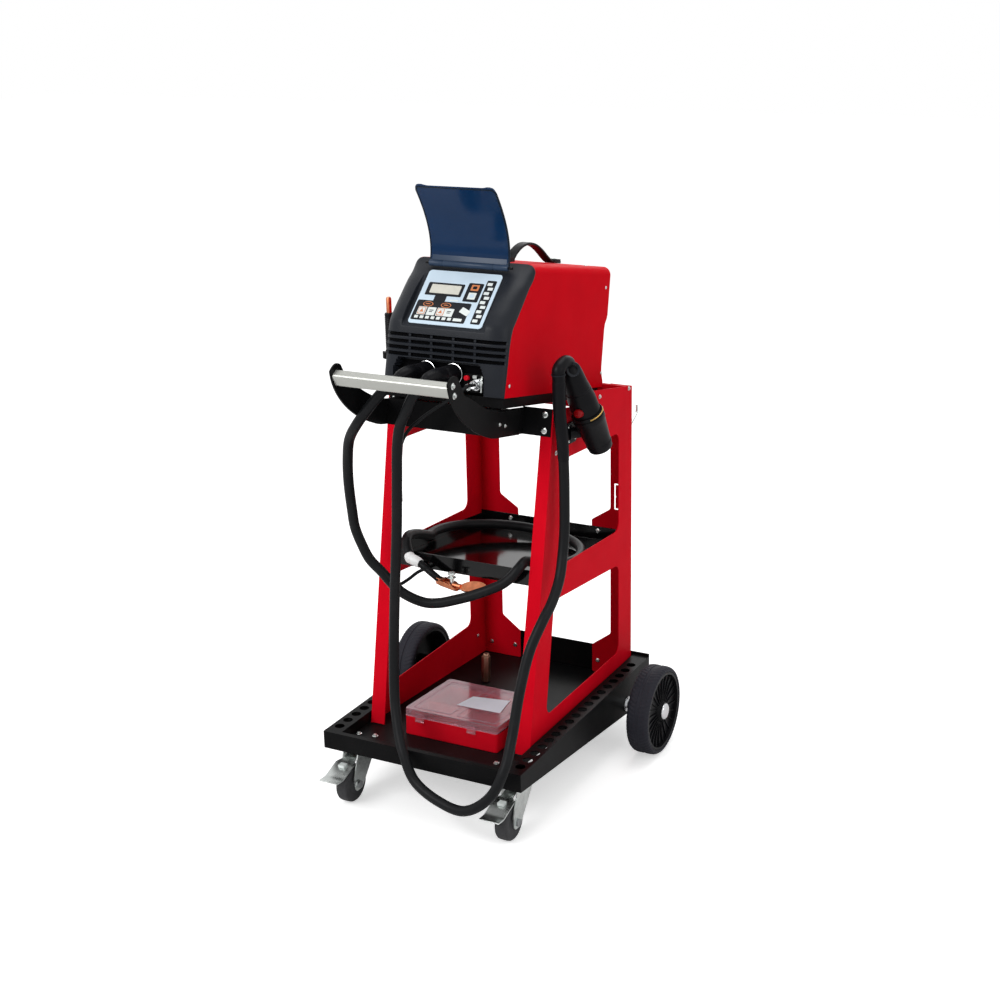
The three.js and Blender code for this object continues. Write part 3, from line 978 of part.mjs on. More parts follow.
// Accessory case on the sloping floor: a box with dividers, and its hinged lid
const boxLow = clearance;
const boxTop = boxLow + box.height;
const hingeW = boxTop + clearance;
const boxMiddle = (box.left + box.right) / 2;
const caseBody = cut(
  solid(extrude(outline(rectangle(box.left, box.right, box.front, box.rear), overrun), box.height).translate(0, 0, boxLow)),
  solid(block([box.left + box.wall, box.right - box.wall], [box.front + box.wall, box.rear - box.wall], [boxLow + box.wall, boxTop + overrun])),
).add(solid(block([boxMiddle - box.divider / 2, boxMiddle + box.divider / 2],
  [box.front + box.wall / 2, box.rear - box.wall / 2], [boxLow + box.wall / 2, boxTop - box.wall])))
  .add(solid(block([box.left + box.wall / 2, box.right - box.wall / 2],
    [(box.front + box.rear) / 2, (box.front + box.rear) / 2 + box.divider], [boxLow + box.wall / 2, boxTop - box.wall])));
add(deck, 'accessory_case', caseBody, redPlastic);
const lidBody = cut(
  solid(extrude(outline(rectangle(box.left, box.right, box.front, box.rear), overrun), box.lid).translate(0, 0, hingeW)),
  solid(block([box.left + box.wall, box.right - box.wall], [box.front + box.wall, box.rear - box.wall],
    [hingeW - overrun, hingeW + box.lid - box.wall])),
);
add(deck, 'case_lid', lidBody, clearLid);

// Hexagonal electrode standing on the floor behind the case
add(deck, 'hex_electrode', cut(joined(
  rod([electrode.x, electrode.y, clearance], [electrode.x, electrode.y, clearance + electrode.height], electrode.radius, 6),
  rod([electrode.x, electrode.y, electrode.height], [electrode.x, electrode.y, electrode.height + electrode.stemHeight], electrode.stem, 12),
), solid(rod([electrode.x, electrode.y, electrode.height / 2],
  [electrode.x, electrode.y, electrode.height + 2 * electrode.stemHeight], electrode.bore / 2, 12))), brass);

// The origin is under the middle of the footprint, leaving the cables out
const cords = new Set(['earth_cable', 'earth_coil', 'gun_cable', 'sense_cable', 'earth_clamp', 'clamp_screw']);
trolley.updateMatrixWorld(true);
const footprint = new THREE.Box3();
trolley.traverse((item) => {
  if (item.isMesh && !cords.has(item.name)) footprint.expandByObject(item, true);
});
const middle = footprint.getCenter(new THREE.Vector3());
trolley.position.set(-middle.x, -middle.y, -footprint.min.z);

const welder = new THREE.Group();
welder.add(trolley);
export default welder;
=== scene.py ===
"""A dent pulling spot welder on its trolley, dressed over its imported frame.

Shapes are worked out in millimetres in the trolley's own frame, x to the right, y to the rear from the base
tray's front wall, z up, and are moved into the object's frame in metres as they become meshes.
"""
import json
import math
from contextlib import contextmanager
import bmesh
import bpy
import numpy as np
from mathutils import Matrix, Vector
from mathutils.geometry import delaunay_2d_cdt

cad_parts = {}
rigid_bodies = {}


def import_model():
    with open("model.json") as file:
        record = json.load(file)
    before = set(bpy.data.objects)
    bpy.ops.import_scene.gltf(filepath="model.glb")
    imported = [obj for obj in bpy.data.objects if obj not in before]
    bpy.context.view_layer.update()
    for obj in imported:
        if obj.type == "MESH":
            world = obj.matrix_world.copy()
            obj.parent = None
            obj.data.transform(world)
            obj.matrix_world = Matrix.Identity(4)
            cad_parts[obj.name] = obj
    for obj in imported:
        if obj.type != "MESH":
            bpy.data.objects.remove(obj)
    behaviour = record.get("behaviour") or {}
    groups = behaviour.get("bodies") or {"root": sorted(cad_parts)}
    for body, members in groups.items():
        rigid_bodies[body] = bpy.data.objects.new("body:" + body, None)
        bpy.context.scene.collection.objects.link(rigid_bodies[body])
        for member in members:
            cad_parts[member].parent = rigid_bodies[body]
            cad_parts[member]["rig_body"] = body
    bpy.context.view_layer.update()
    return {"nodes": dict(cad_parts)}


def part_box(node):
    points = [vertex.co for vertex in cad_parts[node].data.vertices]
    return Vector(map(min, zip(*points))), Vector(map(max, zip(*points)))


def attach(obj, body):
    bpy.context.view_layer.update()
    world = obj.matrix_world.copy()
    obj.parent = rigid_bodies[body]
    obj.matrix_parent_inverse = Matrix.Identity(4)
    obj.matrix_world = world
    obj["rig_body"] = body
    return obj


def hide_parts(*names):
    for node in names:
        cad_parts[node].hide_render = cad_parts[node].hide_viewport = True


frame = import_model()

# Frames -------------------------------------------------------------------------------------------
MM = 0.001
tray_low, tray_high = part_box("base_tray")
TROLLEY = np.array([(tray_low.x + tray_high.x) / 2, tray_low.y, 0.0])


def in_object(points):
    """Millimetres of the trolley's frame as metres of the object's."""
    return TROLLEY + MM * np.asarray(points, float)


def tilted(y0, z0, angle):
    """Places points of a frame that dips to the rear: y = y0 + b cos + h sin, z = z0 - b sin + h cos."""
    c, s = math.cos(angle), math.sin(angle)

    def place(points):
        x, b, h = np.moveaxis(np.asarray(points, float), -1, 0)
        return np.stack([x, y0 + b * c + h * s, z0 - b * s + h * c], -1)
    return place


LEAN = math.radians(10.5)
HEAD_Y, HEAD_Z = 130, 880
head = tilted(HEAD_Y, HEAD_Z, LEAN)
TRAY_ANGLE = math.atan(52 / 439)
shelf = tilted(187.5, 513 - 32 * math.cos(TRAY_ANGLE), TRAY_ANGLE)
FLOOR_FALL = 0.065
DECK_Z = 145
deck = tilted(0, DECK_Z, math.atan(FLOOR_FALL))
SKIRT_Z, SKIRT_FALL = 124, 0.1
POST_FRONT = 124
LABEL_U, LABEL_W = 1, 128
LABEL_RISE, LABEL_RUN = 103, 79
LABEL_ANGLE = math.atan2(LABEL_RISE, LABEL_RUN)
LABEL_LENGTH = math.hypot(LABEL_RISE, LABEL_RUN)
TURN = 2 * math.pi


def label(points):
    """The sloping label field: x across, v up the slope and t outwards, carried into the leaning head."""
    return head(tilted(LABEL_U, LABEL_W, -LABEL_ANGLE)(points))


def upright(points):
    """Plate drawn in y and z with its thickness along x."""
    return np.asarray(points, float)[..., [2, 0, 1]]


def facing(points):
    """Plate drawn in x and z with its thickness along y."""
    return np.asarray(points, float)[..., [0, 2, 1]]


def mirrored(parts):
    """The same parts with x turned about."""
    return [(points * [-1, 1, 1], faces, *rest) for points, faces, *rest in parts]


def floor_at(y):
    """The height of the base tray's floor at a place along it."""
    return DECK_Z - FLOOR_FALL * y


def skirt_at(y):
    """The height of the base tray's lower edge at a place along it."""
    return SKIRT_Z - SKIRT_FALL * y


def post_w(z):
    """How far up the leaning front plane a height z lies."""
    return (z - HEAD_Z + POST_FRONT * math.sin(LEAN)) / math.cos(LEAN)


def front_edge(z):
    """The y of the leaning frame's front plane at a height z."""
    return float(head([0, POST_FRONT, post_w(z)])[1])


# Surfaces -----------------------------------------------------------------------------------------
def unit(vector):
    """The vector at length 1."""
    return vector / np.linalg.norm(vector)


def apart(a, b):
    """The distance between two points."""
    return float(np.linalg.norm(np.subtract(a, b)))


def angles(count):
    """Angles at equal steps round a full turn."""
    return np.linspace(0, TURN, count, endpoint=False)


def woven(points, around=True, loop=False, capped=True):
    """Quads between neighbouring rows of a rows by columns array of points. Around joins the last column
    to the first, loop joins the last row to the first, and capped closes both end rows with a polygon."""
    rows, columns = points.shape[:2]
    index = np.arange(rows * columns).reshape(rows, columns)
    whole = np.hstack([index, index[:, :1]]) if around else index
    whole = np.vstack([whole, whole[:1]]) if loop else whole
    quads = np.stack([whole[:-1, :-1], whole[:-1, 1:], whole[1:, 1:], whole[1:, :-1]], -1).reshape(-1, 4)
    faces = quads.tolist()
    if capped and around and not loop:
        faces += [index[0, ::-1].tolist(), index[-1].tolist()]
    return points.reshape(-1, 3), faces


def squarely(axis):
    """Two directions square to an axis and to each other."""
    other = np.array([1.0, 0, 0]) if abs(axis[0]) < 0.9 else np.array([0, 1.0, 0])
    across = unit(np.cross(axis, other))
    return across, np.cross(axis, across)


def lathe(profile, start, end, sides=32, loop=False):
    """(height, radius) pairs turned about the line from start to end:
    start + height along the axis + radius (cos, sin) square to it."""
    profile, start = np.asarray(profile, float), np.asarray(start, float)
    axis = unit(np.asarray(end, float) - start)
    across, over = squarely(axis)
    turn = angles(sides)[:, None]
    spoke = np.cos(turn) * across + np.sin(turn) * over
    points = start + profile[:, 0, None, None] * axis + profile[:, 1, None, None] * spoke
    return woven(points, loop=loop)


def rod(start, end, radius, sides=24, chamfer=0.0):
    """A turned rod with a chamfer at both ends."""
    length = apart(end, start)
    inner = radius - chamfer
    profile = [(0, 0), (0, inner), (chamfer, radius), (length - chamfer, radius), (length, inner), (length, 0)]
    return lathe(profile, start, end, sides)


def swept(section, path, across):
    """A section of (side, over) offsets carried along a path: side runs along the given direction, over is
    square to it and to the path's tangent."""
    path, section = np.asarray(path, float), np.asarray(section, float)
    tangent = np.gradient(path, axis=0)
    tangent /= np.linalg.norm(tangent, axis=1, keepdims=True)
    across = np.broadcast_to(np.asarray(across, float), path.shape)
    over = np.cross(tangent, across)
    over /= np.linalg.norm(over, axis=1, keepdims=True)
    points = path[:, None] + section[None, :, :1] * across[:, None] + section[None, :, 1:] * over[:, None]
    return woven(points)


def rings_along(path, radii, sides):
    """Circles square to a path. Each ring's frame is the last one turned by as little as the path turns."""
    path = np.asarray(path, float)
    tangent = np.gradient(path, axis=0)
    tangent /= np.linalg.norm(tangent, axis=1, keepdims=True)
    across = np.empty_like(path)
    across[0] = squarely(tangent[0])[0]
    for i in range(1, len(path)):
        across[i] = unit(across[i - 1] - tangent[i] * (across[i - 1] @ tangent[i]))
    over = np.cross(tangent, across)
    turn = angles(sides)[None, :, None]
    radii = np.broadcast_to(np.asarray(radii, float), len(path))[:, None, None]
    return path[:, None] + radii * (np.cos(turn) * across[:, None] + np.sin(turn) * over[:, None])


def tube(path, radii, sides=16):
    """Circles carried along a path, closed at both ends."""
    return woven(rings_along(path, radii, sides))


def curve(points, per=8):
    """The centripetal Catmull-Rom curve through the points: a cubic on each span whose end slopes come from
    its neighbours, each span weighted by the square root of its length."""
    points = np.asarray(points, float)
    padded = np.vstack([2 * points[0] - points[1], points, 2 * points[-1] - points[-2]])
    before, start, end, after = padded[:-3], padded[1:-2], padded[2:-1], padded[3:]
    d0, d1, d2 = (np.linalg.norm(b - a, axis=1, keepdims=True) ** 0.5
                  for a, b in ((before, start), (start, end), (end, after)))
    leave = ((start - before) / d0 - (end - before) / (d0 + d1) + (end - start) / d1) * d1
    arrive = ((end - start) / d1 - (after - start) / (d1 + d2) + (after - end) / d2) * d1
    t = np.linspace(0, 1, per, endpoint=False)[None, :, None]
    a, b, c, d = (v[:, None] for v in (start, leave, 3 * (end - start) - 2 * leave - arrive,
                                       2 * (start - end) + leave + arrive))
    return np.vstack([(a + b * t + c * t ** 2 + d * t ** 3).reshape(-1, points.shape[1]), points[-1:]])


def runs_along(path):
    """How far along a path each of its points lies."""
    return np.concatenate([[0], np.cumsum(np.linalg.norm(np.diff(path, axis=0), axis=1))])


def spaced(path, count):
    """Points at equal steps along a path."""
    path = np.asarray(path, float)
    run = runs_along(path)
    steps = np.linspace(0, run[-1], count)
    return np.stack([np.interp(steps, run, path[:, axis]) for axis in range(path.shape[1])], 1)


def run_of(path):
    """A path's length."""
    return float(np.linalg.norm(np.diff(np.asarray(path, float), axis=0), axis=1).sum())


def bezier(points, count=16):
    """A Bezier curve of any degree: repeated blending of neighbouring control points."""
    t = np.linspace(0, 1, count)[:, None, None]
    level = np.broadcast_to(np.asarray(points, float), (count, len(points), len(points[0])))
    while level.shape[1] > 1:
        level = level[:, :-1] * (1 - t) + level[:, 1:] * t
    return level[:, 0]


def arc(x, y, radius, start, end, count=12):
    """Points of a circle from one angle in degrees to another."""
    angle = np.radians(np.linspace(start, end, count))
    return np.stack([x + radius * np.cos(angle), y + radius * np.sin(angle)], 1)


def circle(x, y, radius, count=20):
    """A closed outline of equal steps round a circle."""
    return arc(x, y, radius, 0, 360, count + 1)[:-1]


def rectangle(x0, x1, y0, y1):
    """A closed outline, anticlockwise from its low corner."""
    return [(x0, y0), (x1, y0), (x1, y1), (x0, y1)]


def rounded(points, radius, steps=6):
    """A closed outline with a circular fillet at each corner: the arc starts where radius over the tangent
    of half the corner is, and sweeps about the centre on the bisector."""
    points = np.asarray(points, float)
    radii = np.broadcast_to(np.asarray(radius, float), len(points))
    out = []
    for corner, before, after, size in zip(points, np.roll(points, 1, 0), np.roll(points, -1, 0), radii):
        back, ahead = unit(before - corner), unit(after - corner)
        half = math.acos(np.clip(back @ ahead, -1, 1)) / 2
        if size <= 0 or half > 1.5:
            out.append(corner[None])
            continue
        limit = 0.49 * min(np.linalg.norm(before - corner), np.linalg.norm(after - corner))
        reach = min(size / math.tan(half), limit)
        size = reach * math.tan(half)
        centre = corner + unit(back + ahead) * size / math.sin(half)
        first, last = corner + back * reach - centre, corner + ahead * reach - centre
        sweep = math.pi - 2 * half
        t = np.linspace(0, 1, steps + 1)[:, None]
        out.append(centre + (np.sin((1 - t) * sweep) * first + np.sin(t * sweep) * last) / math.sin(sweep))
    return np.vstack(out)


def panel(x0, x1, y0, y1, radius, steps=3):
    """A rectangle with rounded corners."""
    return rounded(rectangle(x0, x1, y0, y1), radius, steps)


def plate(outline, low, high, holes=()):
    """A flat plate: its outline and holes are triangulated, triangles whose centre lies in an even number of
    loops are dropped, and walls join the two levels along the third axis."""
    loops = [np.asarray(loop, float) for loop in (outline, *holes)]
    starts = np.cumsum([0] + [len(loop) for loop in loops])
    edges = [np.stack([np.arange(len(loop)), np.roll(np.arange(len(loop)), -1)], 1) + first
             for loop, first in zip(loops, starts)]
    edges = np.vstack(edges)
    flat = np.vstack(loops)
    found, _, triangles, sources, _, _ = delaunay_2d_cdt([Vector(p) for p in flat], edges.tolist(), [], 0, 1e-7)
    place = np.zeros(len(flat), int)
    for new, old in enumerate(sources):
        place[old] = new
    points = np.array([tuple(p) for p in found])
    triangles = np.array(triangles)
    centre = points[triangles].mean(1)
    a, b = flat[edges[:, 0]], flat[edges[:, 1]]
    x, y = centre[:, :1], centre[:, 1:]
    with np.errstate(divide="ignore", invalid="ignore"):
        cross = ((a[:, 1] > y) != (b[:, 1] > y)) & (
            x < a[:, 0] + (y - a[:, 1]) * (b[:, 0] - a[:, 0]) / (b[:, 1] - a[:, 1]))
    kept = triangles[cross.sum(1) % 2 == 1]
    count = len(points)
    rim = place[edges]
    walls = np.stack([rim[:, 0], rim[:, 1], rim[:, 1] + count, rim[:, 0] + count], 1)
    solid = np.vstack([np.column_stack([points, np.full(count, low)]),
                       np.column_stack([points, np.full(count, high)])])
    return solid, kept[:, ::-1].tolist() + (kept + count).tolist() + walls.tolist()


def block(x, y, z):
    """A cuboid between pairs of limits."""
    return plate(rectangle(*x, *y), *z)


def moved(part, place):
    """The part with its points carried by a placing function."""
    points, faces, *rest = part
    return (place(points), faces, *rest)


def shifted(part, by):
    """The part moved by a vector."""
    return (part[0] + by, *part[1:])


def sided(sign, parts):
    """The parts as drawn for the right side, or mirrored for the left one."""
    return parts if sign > 0 else mirrored(parts)


def on_head(*parts):
    """Parts drawn in the leaning head's own frame, carried to their place."""
    return [moved(part, head) for part in parts]


def coloured(part, index):
    """The part in the piece's finish of that index."""
    return part[0], part[1], index


# Pieces -------------------------------------------------------------------------------------------
MERGE = 2e-6
FLAT_ANGLE, BEVEL_ANGLE, SHARP_ANGLE = 0.6, 32, 36
SIDES = (("left", -1), ("right", 1))


@contextmanager
def edited(mesh):
    """The mesh opened for editing, and written back."""
    bm = bmesh.new()
    bm.from_mesh(mesh)
    yield bm
    bm.to_mesh(mesh)
    bm.free()


def flattened(bm):
    """Merges doubled points and joins faces that lie in one plane."""
    bmesh.ops.remove_doubles(bm, verts=bm.verts, dist=MERGE)
    bmesh.ops.dissolve_limit(bm, angle_limit=math.radians(FLAT_ANGLE), verts=bm.verts, edges=bm.edges)


def linked(name, data):
    """An object of the data, in the scene."""
    item = bpy.data.objects.new(name, data)
    bpy.context.scene.collection.objects.link(item)
    return item


def mesh_of(name, parts):
    """One mesh from parts given in the trolley's millimetres."""
    points = in_object(np.vstack([part[0] for part in parts]))
    starts = np.cumsum([0] + [len(part[0]) for part in parts])
    faces = [[int(v) + int(first) for v in face] for part, first in zip(parts, starts) for face in part[1]]
    mesh = bpy.data.meshes.new(name)
    mesh.from_pydata(points.tolist(), [], faces)
    index = np.concatenate([np.full(len(part[1]), part[2] if len(part) > 2 else 0) for part in parts])
    mesh.polygons.foreach_set("material_index", index.astype(np.int32))
    with edited(mesh) as bm:
        bmesh.ops.remove_doubles(bm, verts=bm.verts, dist=MERGE)
        bmesh.ops.dissolve_degenerate(bm, edges=bm.edges, dist=1e-7)
        bmesh.ops.recalc_face_normals(bm, faces=bm.faces)
    return mesh


def bevelled(item, width, segments=2):
    """Rounds the edges that turn by more than BEVEL_ANGLE."""
    if width:
        edge = item.modifiers.new("rounded_edges", "BEVEL")
        edge.width = width * MM
        edge.segments = segments
        edge.limit_method = "ANGLE"
        edge.angle_limit = math.radians(BEVEL_ANGLE)
        edge.harden_normals = True


def dressed(name, mesh, body, materials, replaced, bevel, segments, smooth):
    """Makes an object of the mesh, with its finishes and rounded edges, that rides on a body."""
    for material in materials:
        mesh.materials.append(material)
    mesh.shade_smooth()
    mesh.set_sharp_from_angle(angle=math.radians(smooth))
    item = linked(name, mesh)
    bevelled(item, bevel, segments)
    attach(item, body)
    if replaced:
        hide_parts(*replaced)
    return item


def piece(name, parts, body, materials, replaces=(), bevel=0, segments=2, smooth=SHARP_ANGLE):
    """Makes an object of the parts."""
    materials = materials if isinstance(materials, list) else [materials]
    replaced = [replaces] if isinstance(replaces, str) else replaces
    return dressed(name, mesh_of(name, parts), body, materials, replaced, bevel, segments, smooth)


def refined(node, material, bevel, segments=2):
    """A copy of a CAD node with merged points, flat faces joined and rounded edges. It replaces the node."""
    source = frame["nodes"][node]
    mesh = source.data.copy()
    with edited(mesh) as bm:
        flattened(bm)
    mesh.materials.clear()
    dressed(f"{node}_finished", mesh, source["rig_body"], [material], [node], bevel, segments, SHARP_ANGLE)


def sheeted(item, wall, axis, outwards):
    """Gives an open sheet its wall: its faces are turned so that they look the given way along an axis on the
    whole, and the wall goes inwards from them."""
    with edited(item.data) as bm:
        if outwards * sum(face.normal[axis] * face.calc_area() for face in bm.faces) < 0:
            bmesh.ops.reverse_faces(bm, faces=bm.faces)
    shell = item.modifiers.new("wall", "SOLIDIFY")
    shell.thickness = wall * MM
    shell.offset = -1


def united(*parts):
    """An exact union of closed parts, with flat faces joined again."""
    gathered = bpy.data.collections.new("tools")
    made = [linked("tool", mesh_of("tool", [part])) for part in parts]
    for item in made[1:]:
        gathered.objects.link(item)
    change = made[0].modifiers.new("carve", "BOOLEAN")
    change.operation = "UNION"
    change.solver = "EXACT"
    change.operand_type = "COLLECTION"
    change.collection = gathered
    graph = bpy.context.evaluated_depsgraph_get()
    result = bpy.data.meshes.new_from_object(made[0].evaluated_get(graph))
    bm = bmesh.new()
    bm.from_mesh(result)
    flattened(bm)
    points = np.array([v.co[:] for v in bm.verts])
    bm.verts.index_update()
    faces = [[v.index for v in face.verts] for face in bm.faces]
    bm.free()
    for item in made:
        bpy.data.objects.remove(item)
    bpy.data.collections.remove(gathered)
    return (points - TROLLEY) / MM, faces


def hex_bolt(at, direction, size=5.0, washer=True):
    """A hexagon bolt head on a washer. The head's top is a shallow dome."""
    at, direction = np.asarray(at, float), unit(np.asarray(direction, float))
    parts = []
    if washer:
        parts.append(lathe([(0, 0), (0, size * 1.5), (0.9, size * 1.5), (1.1, size * 1.4), (1.1, 0)], at,
                           at + direction, 20))
    foot = at + direction * (1.1 if washer else 0)
    parts.append(lathe([(0, 0), (0, size), (size * 0.55, size), (size * 0.7, size * 0.86), (size * 0.72, 0)],
                       foot, foot + direction, 6))
    return parts


def round_screw(at, direction, size=3.0):
    """A domed screw head with a hexagonal recess."""
    at, direction = np.asarray(at, float), unit(np.asarray(direction, float))
    return [lathe([(0, 0), (0, size), (size * 0.25, size), (size * 0.5, size * 0.75), (size * 0.6, size * 0.42)],
                  at, at + direction, 16),
            lathe([(size * 0.2, 0), (size * 0.6, size * 0.42), (size * 0.2, size * 0.4), (size * 0.2, 0)],
                  at, at + direction, 6)]


# Finishes -----------------------------------------------------------------------------------------
def srgb(r, g, b):
    """A colour as seen, 0 to 255, in linear light."""
    c = np.array([r, g, b]) / 255
    linear = np.where(c <= 0.04045, c / 12.92, ((c + 0.055) / 1.055) ** 2.4)
    return (*linear.tolist(), 1.0)


KINDS = {"colour": "NodeSocketColor", "value": "NodeSocketFloat", "vector": "NodeSocketVector"}


def shared_group(name, inputs, outputs):
    """A node group with named sockets, what goes in and what comes out."""
    tree = bpy.data.node_groups.new(name, "ShaderNodeTree")
    for word, kind, default in inputs:
        tree.interface.new_socket(word, in_out="INPUT", socket_type=KINDS[kind]).default_value = default
    for word, kind in outputs:
        tree.interface.new_socket(word, in_out="OUTPUT", socket_type=KINDS[kind])
    return tree, tree.nodes.new("NodeGroupInput").outputs, tree.nodes.new("NodeGroupOutput").inputs


def noise(tree, vector, scale, detail=3.0, rough=0.5):
    """A noise texture whose scale may be a socket."""
    node = tree.nodes.new("ShaderNodeTexNoise")
    node.inputs["Detail"].default_value = detail
    node.inputs["Roughness"].default_value = rough
    feed(tree, node.inputs["Scale"], scale)
    if vector is not None:
        tree.links.new(vector, node.inputs["Vector"])
    return node.outputs["Fac"]


def feed(tree, socket, value):
    """Links a socket to another, or sets it to a number or colour."""
    if isinstance(value, bpy.types.NodeSocket):
        tree.links.new(value, socket)
    else:
        socket.default_value = value


def sums(tree, operation, *values):
    """The result of a math node."""
    node = tree.nodes.new("ShaderNodeMath")
    node.operation = operation
    for socket, value in zip(node.inputs, values):
        feed(tree, socket, value)
    return node.outputs[0]


def ramped(tree, value, low, high, to_low=0.0, to_high=1.0):
    """A value carried from one range to another and held within it."""
    node = tree.nodes.new("ShaderNodeMapRange")
    node.clamp = True
    for socket, number in zip(node.inputs, (value, low, high, to_low, to_high)):
        feed(tree, socket, number)
    return node.outputs[0]


def mixed(tree, share, first, second):
    """Two colours mixed by a share of the second."""
    node = tree.nodes.new("ShaderNodeMix")
    node.data_type = "RGBA"
    feed(tree, node.inputs[0], share)
    feed(tree, node.inputs[6], first)
    feed(tree, node.inputs[7], second)
    return node.outputs[2]


def tone_group():
    """Paint that isn't quite even: broad noise lightens and darkens the colour by Amount."""
    tree, given, out = shared_group("uneven_tone", [
        ("Vector", "vector", (0, 0, 0)), ("Colour", "colour", (0.5, 0.5, 0.5, 1)),
        ("Amount", "value", 0.1), ("Scale", "value", 12.0)], [("Colour", "colour")])
    broad = noise(tree, given["Vector"], given["Scale"], 4.0, 0.6)
    swing = ramped(tree, broad, 0.3, 0.7, sums(tree, "SUBTRACT", 1.0, given["Amount"]),
                   sums(tree, "ADD", 1.0, given["Amount"]))
    scale = tree.nodes.new("ShaderNodeVectorMath")
    scale.operation = "SCALE"
    tree.links.new(given["Colour"], scale.inputs[0])
    tree.links.new(swing, scale.inputs["Scale"])
    tree.links.new(scale.outputs[0], out["Colour"])
    return tree


def grain_group():
    """Fine relief: noise at Scale gives the height, and moves the roughness by Spread about its middle."""
    tree, given, out = shared_group("fine_grain", [
        ("Vector", "vector", (0, 0, 0)), ("Scale", "value", 800.0), ("Roughness", "value", 0.4),
        ("Spread", "value", 0.08)], [("Height", "value"), ("Roughness", "value")])
    fine = noise(tree, given["Vector"], given["Scale"], 2.0)
    patch = noise(tree, given["Vector"], 22.0, 5.0, 0.62)
    both = sums(tree, "ADD", sums(tree, "MULTIPLY", fine, 0.35), sums(tree, "MULTIPLY", patch, 0.65))
    swing = sums(tree, "MULTIPLY", sums(tree, "SUBTRACT", both, 0.5), sums(tree, "MULTIPLY", given["Spread"], 3.0))
    tree.links.new(fine, out["Height"])
    tree.links.new(sums(tree, "ADD", given["Roughness"], swing), out["Roughness"])
    return tree


def dust_group():
    """Dust and handling marks: patches of a paler colour, where broad noise passes a threshold, broken up by
    fine noise, with a mask for the roughness."""
    tree, given, out = shared_group("dust_and_marks", [
        ("Vector", "vector", (0, 0, 0)), ("Colour", "colour", (0.5, 0.5, 0.5, 1)),
        ("Dust", "colour", (0.3, 0.29, 0.27, 1)), ("Amount", "value", 0.15)],
        [("Colour", "colour"), ("Mask", "value")])
    broad = ramped(tree, noise(tree, given["Vector"], 9.0, 6.0, 0.68), 0.48, 0.72)
    fine = ramped(tree, noise(tree, given["Vector"], 420.0, 3.0, 0.7), 0.4, 0.75)
    mask = sums(tree, "MULTIPLY", sums(tree, "MULTIPLY", broad, fine), given["Amount"])
    tree.links.new(mixed(tree, mask, given["Colour"], given["Dust"]), out["Colour"])
    tree.links.new(mask, out["Mask"])
    return tree


def scratch_group():
    """Hairline scratches: stretched noise squeezed to a thin band about its middle."""
    tree, given, out = shared_group("hairlines", [
        ("Vector", "vector", (0, 0, 0)), ("Stretch", "vector", (1, 1, 1)), ("Scale", "value", 30.0),
        ("Width", "value", 0.01)], [("Mask", "value"), ("Height", "value")])
    stretched = tree.nodes.new("ShaderNodeVectorMath")
    stretched.operation = "MULTIPLY"
    tree.links.new(given["Vector"], stretched.inputs[0])
    tree.links.new(given["Stretch"], stretched.inputs[1])
    lines = noise(tree, stretched.outputs[0], given["Scale"], 4.0, 0.6)
    away = sums(tree, "ABSOLUTE", sums(tree, "SUBTRACT", lines, 0.5))
    mask = ramped(tree, away, 0.0, given["Width"], 1.0, 0.0)
    tree.links.new(mask, out["Mask"])
    tree.links.new(lines, out["Height"])
    return tree


TONE, GRAIN, DUST, HAIRLINES = tone_group(), grain_group(), dust_group(), scratch_group()
EVEN = (1.0, 1.0, 1.0)
GREY_DUST = (0.32, 0.3, 0.28, 1)
RELIEF_DEPTH = 0.0004
SOCKETS = {"specular": "Specular IOR Level", "transmission": "Transmission Weight", "ior": "IOR"}


def placed(tree, shared, **values):
    """A shared group in a tree, with its sockets fed by name."""
    node = tree.nodes.new("ShaderNodeGroup")
    node.node_tree = shared
    for socket, value in values.items():
        feed(tree, node.inputs[socket.capitalize()], value)
    return node


def finish(name, colour, roughness=0.4, metallic=0.0, tone=0.07, tone_scale=14.0, grain=900.0, relief=0.08,
           spread=0.06, dust=0.12, dust_colour=None, hair=0.0, hair_colour=None,
           stretch=EVEN, hair_scale=30.0, brushed=0.0, **constants):
    """A finish from the shared groups: uneven tone, hairlines, dust, and relief from the fine grain. Colours are
    given as seen, and the constants are the shader's own sockets by the words in SOCKETS."""
    material = bpy.data.materials.new(name)
    material.use_nodes = True
    tree = material.node_tree
    shader = tree.nodes["Principled BSDF"]
    at = tree.nodes.new("ShaderNodeTexCoord").outputs["Object"]
    paint = placed(tree, TONE, vector=at, colour=srgb(*colour), amount=tone, scale=tone_scale).outputs["Colour"]
    grains = placed(tree, GRAIN, vector=at, scale=grain, roughness=roughness, spread=spread)
    height = grains.outputs["Height"]
    rough = grains.outputs["Roughness"]
    if hair or brushed:
        lines = placed(tree, HAIRLINES, vector=at, stretch=stretch, scale=hair_scale, width=0.004 + 0.02 * hair)
        if hair:
            share = sums(tree, "MULTIPLY", lines.outputs["Mask"], hair)
            paint = mixed(tree, share, paint, srgb(*hair_colour))
        if brushed:
            height = sums(tree, "ADD", sums(tree, "MULTIPLY", lines.outputs["Height"], brushed), height)
    dusty = placed(tree, DUST, vector=at, colour=paint,
                   dust=srgb(*dust_colour) if dust_colour else GREY_DUST, amount=dust)
    tree.links.new(dusty.outputs["Colour"], shader.inputs["Base Color"])
    marked = sums(tree, "ADD", rough, sums(tree, "MULTIPLY", dusty.outputs["Mask"], 0.35))
    tree.links.new(marked, shader.inputs["Roughness"])
    bump = tree.nodes.new("ShaderNodeBump")
    bump.inputs["Strength"].default_value = relief
    bump.inputs["Distance"].default_value = RELIEF_DEPTH
    tree.links.new(height, bump.inputs["Height"])
    tree.links.new(bump.outputs["Normal"], shader.inputs["Normal"])
    shader.inputs["Metallic"].default_value = metallic
    for word, value in constants.items():
        shader.inputs[SOCKETS[word]].default_value = value
    return material


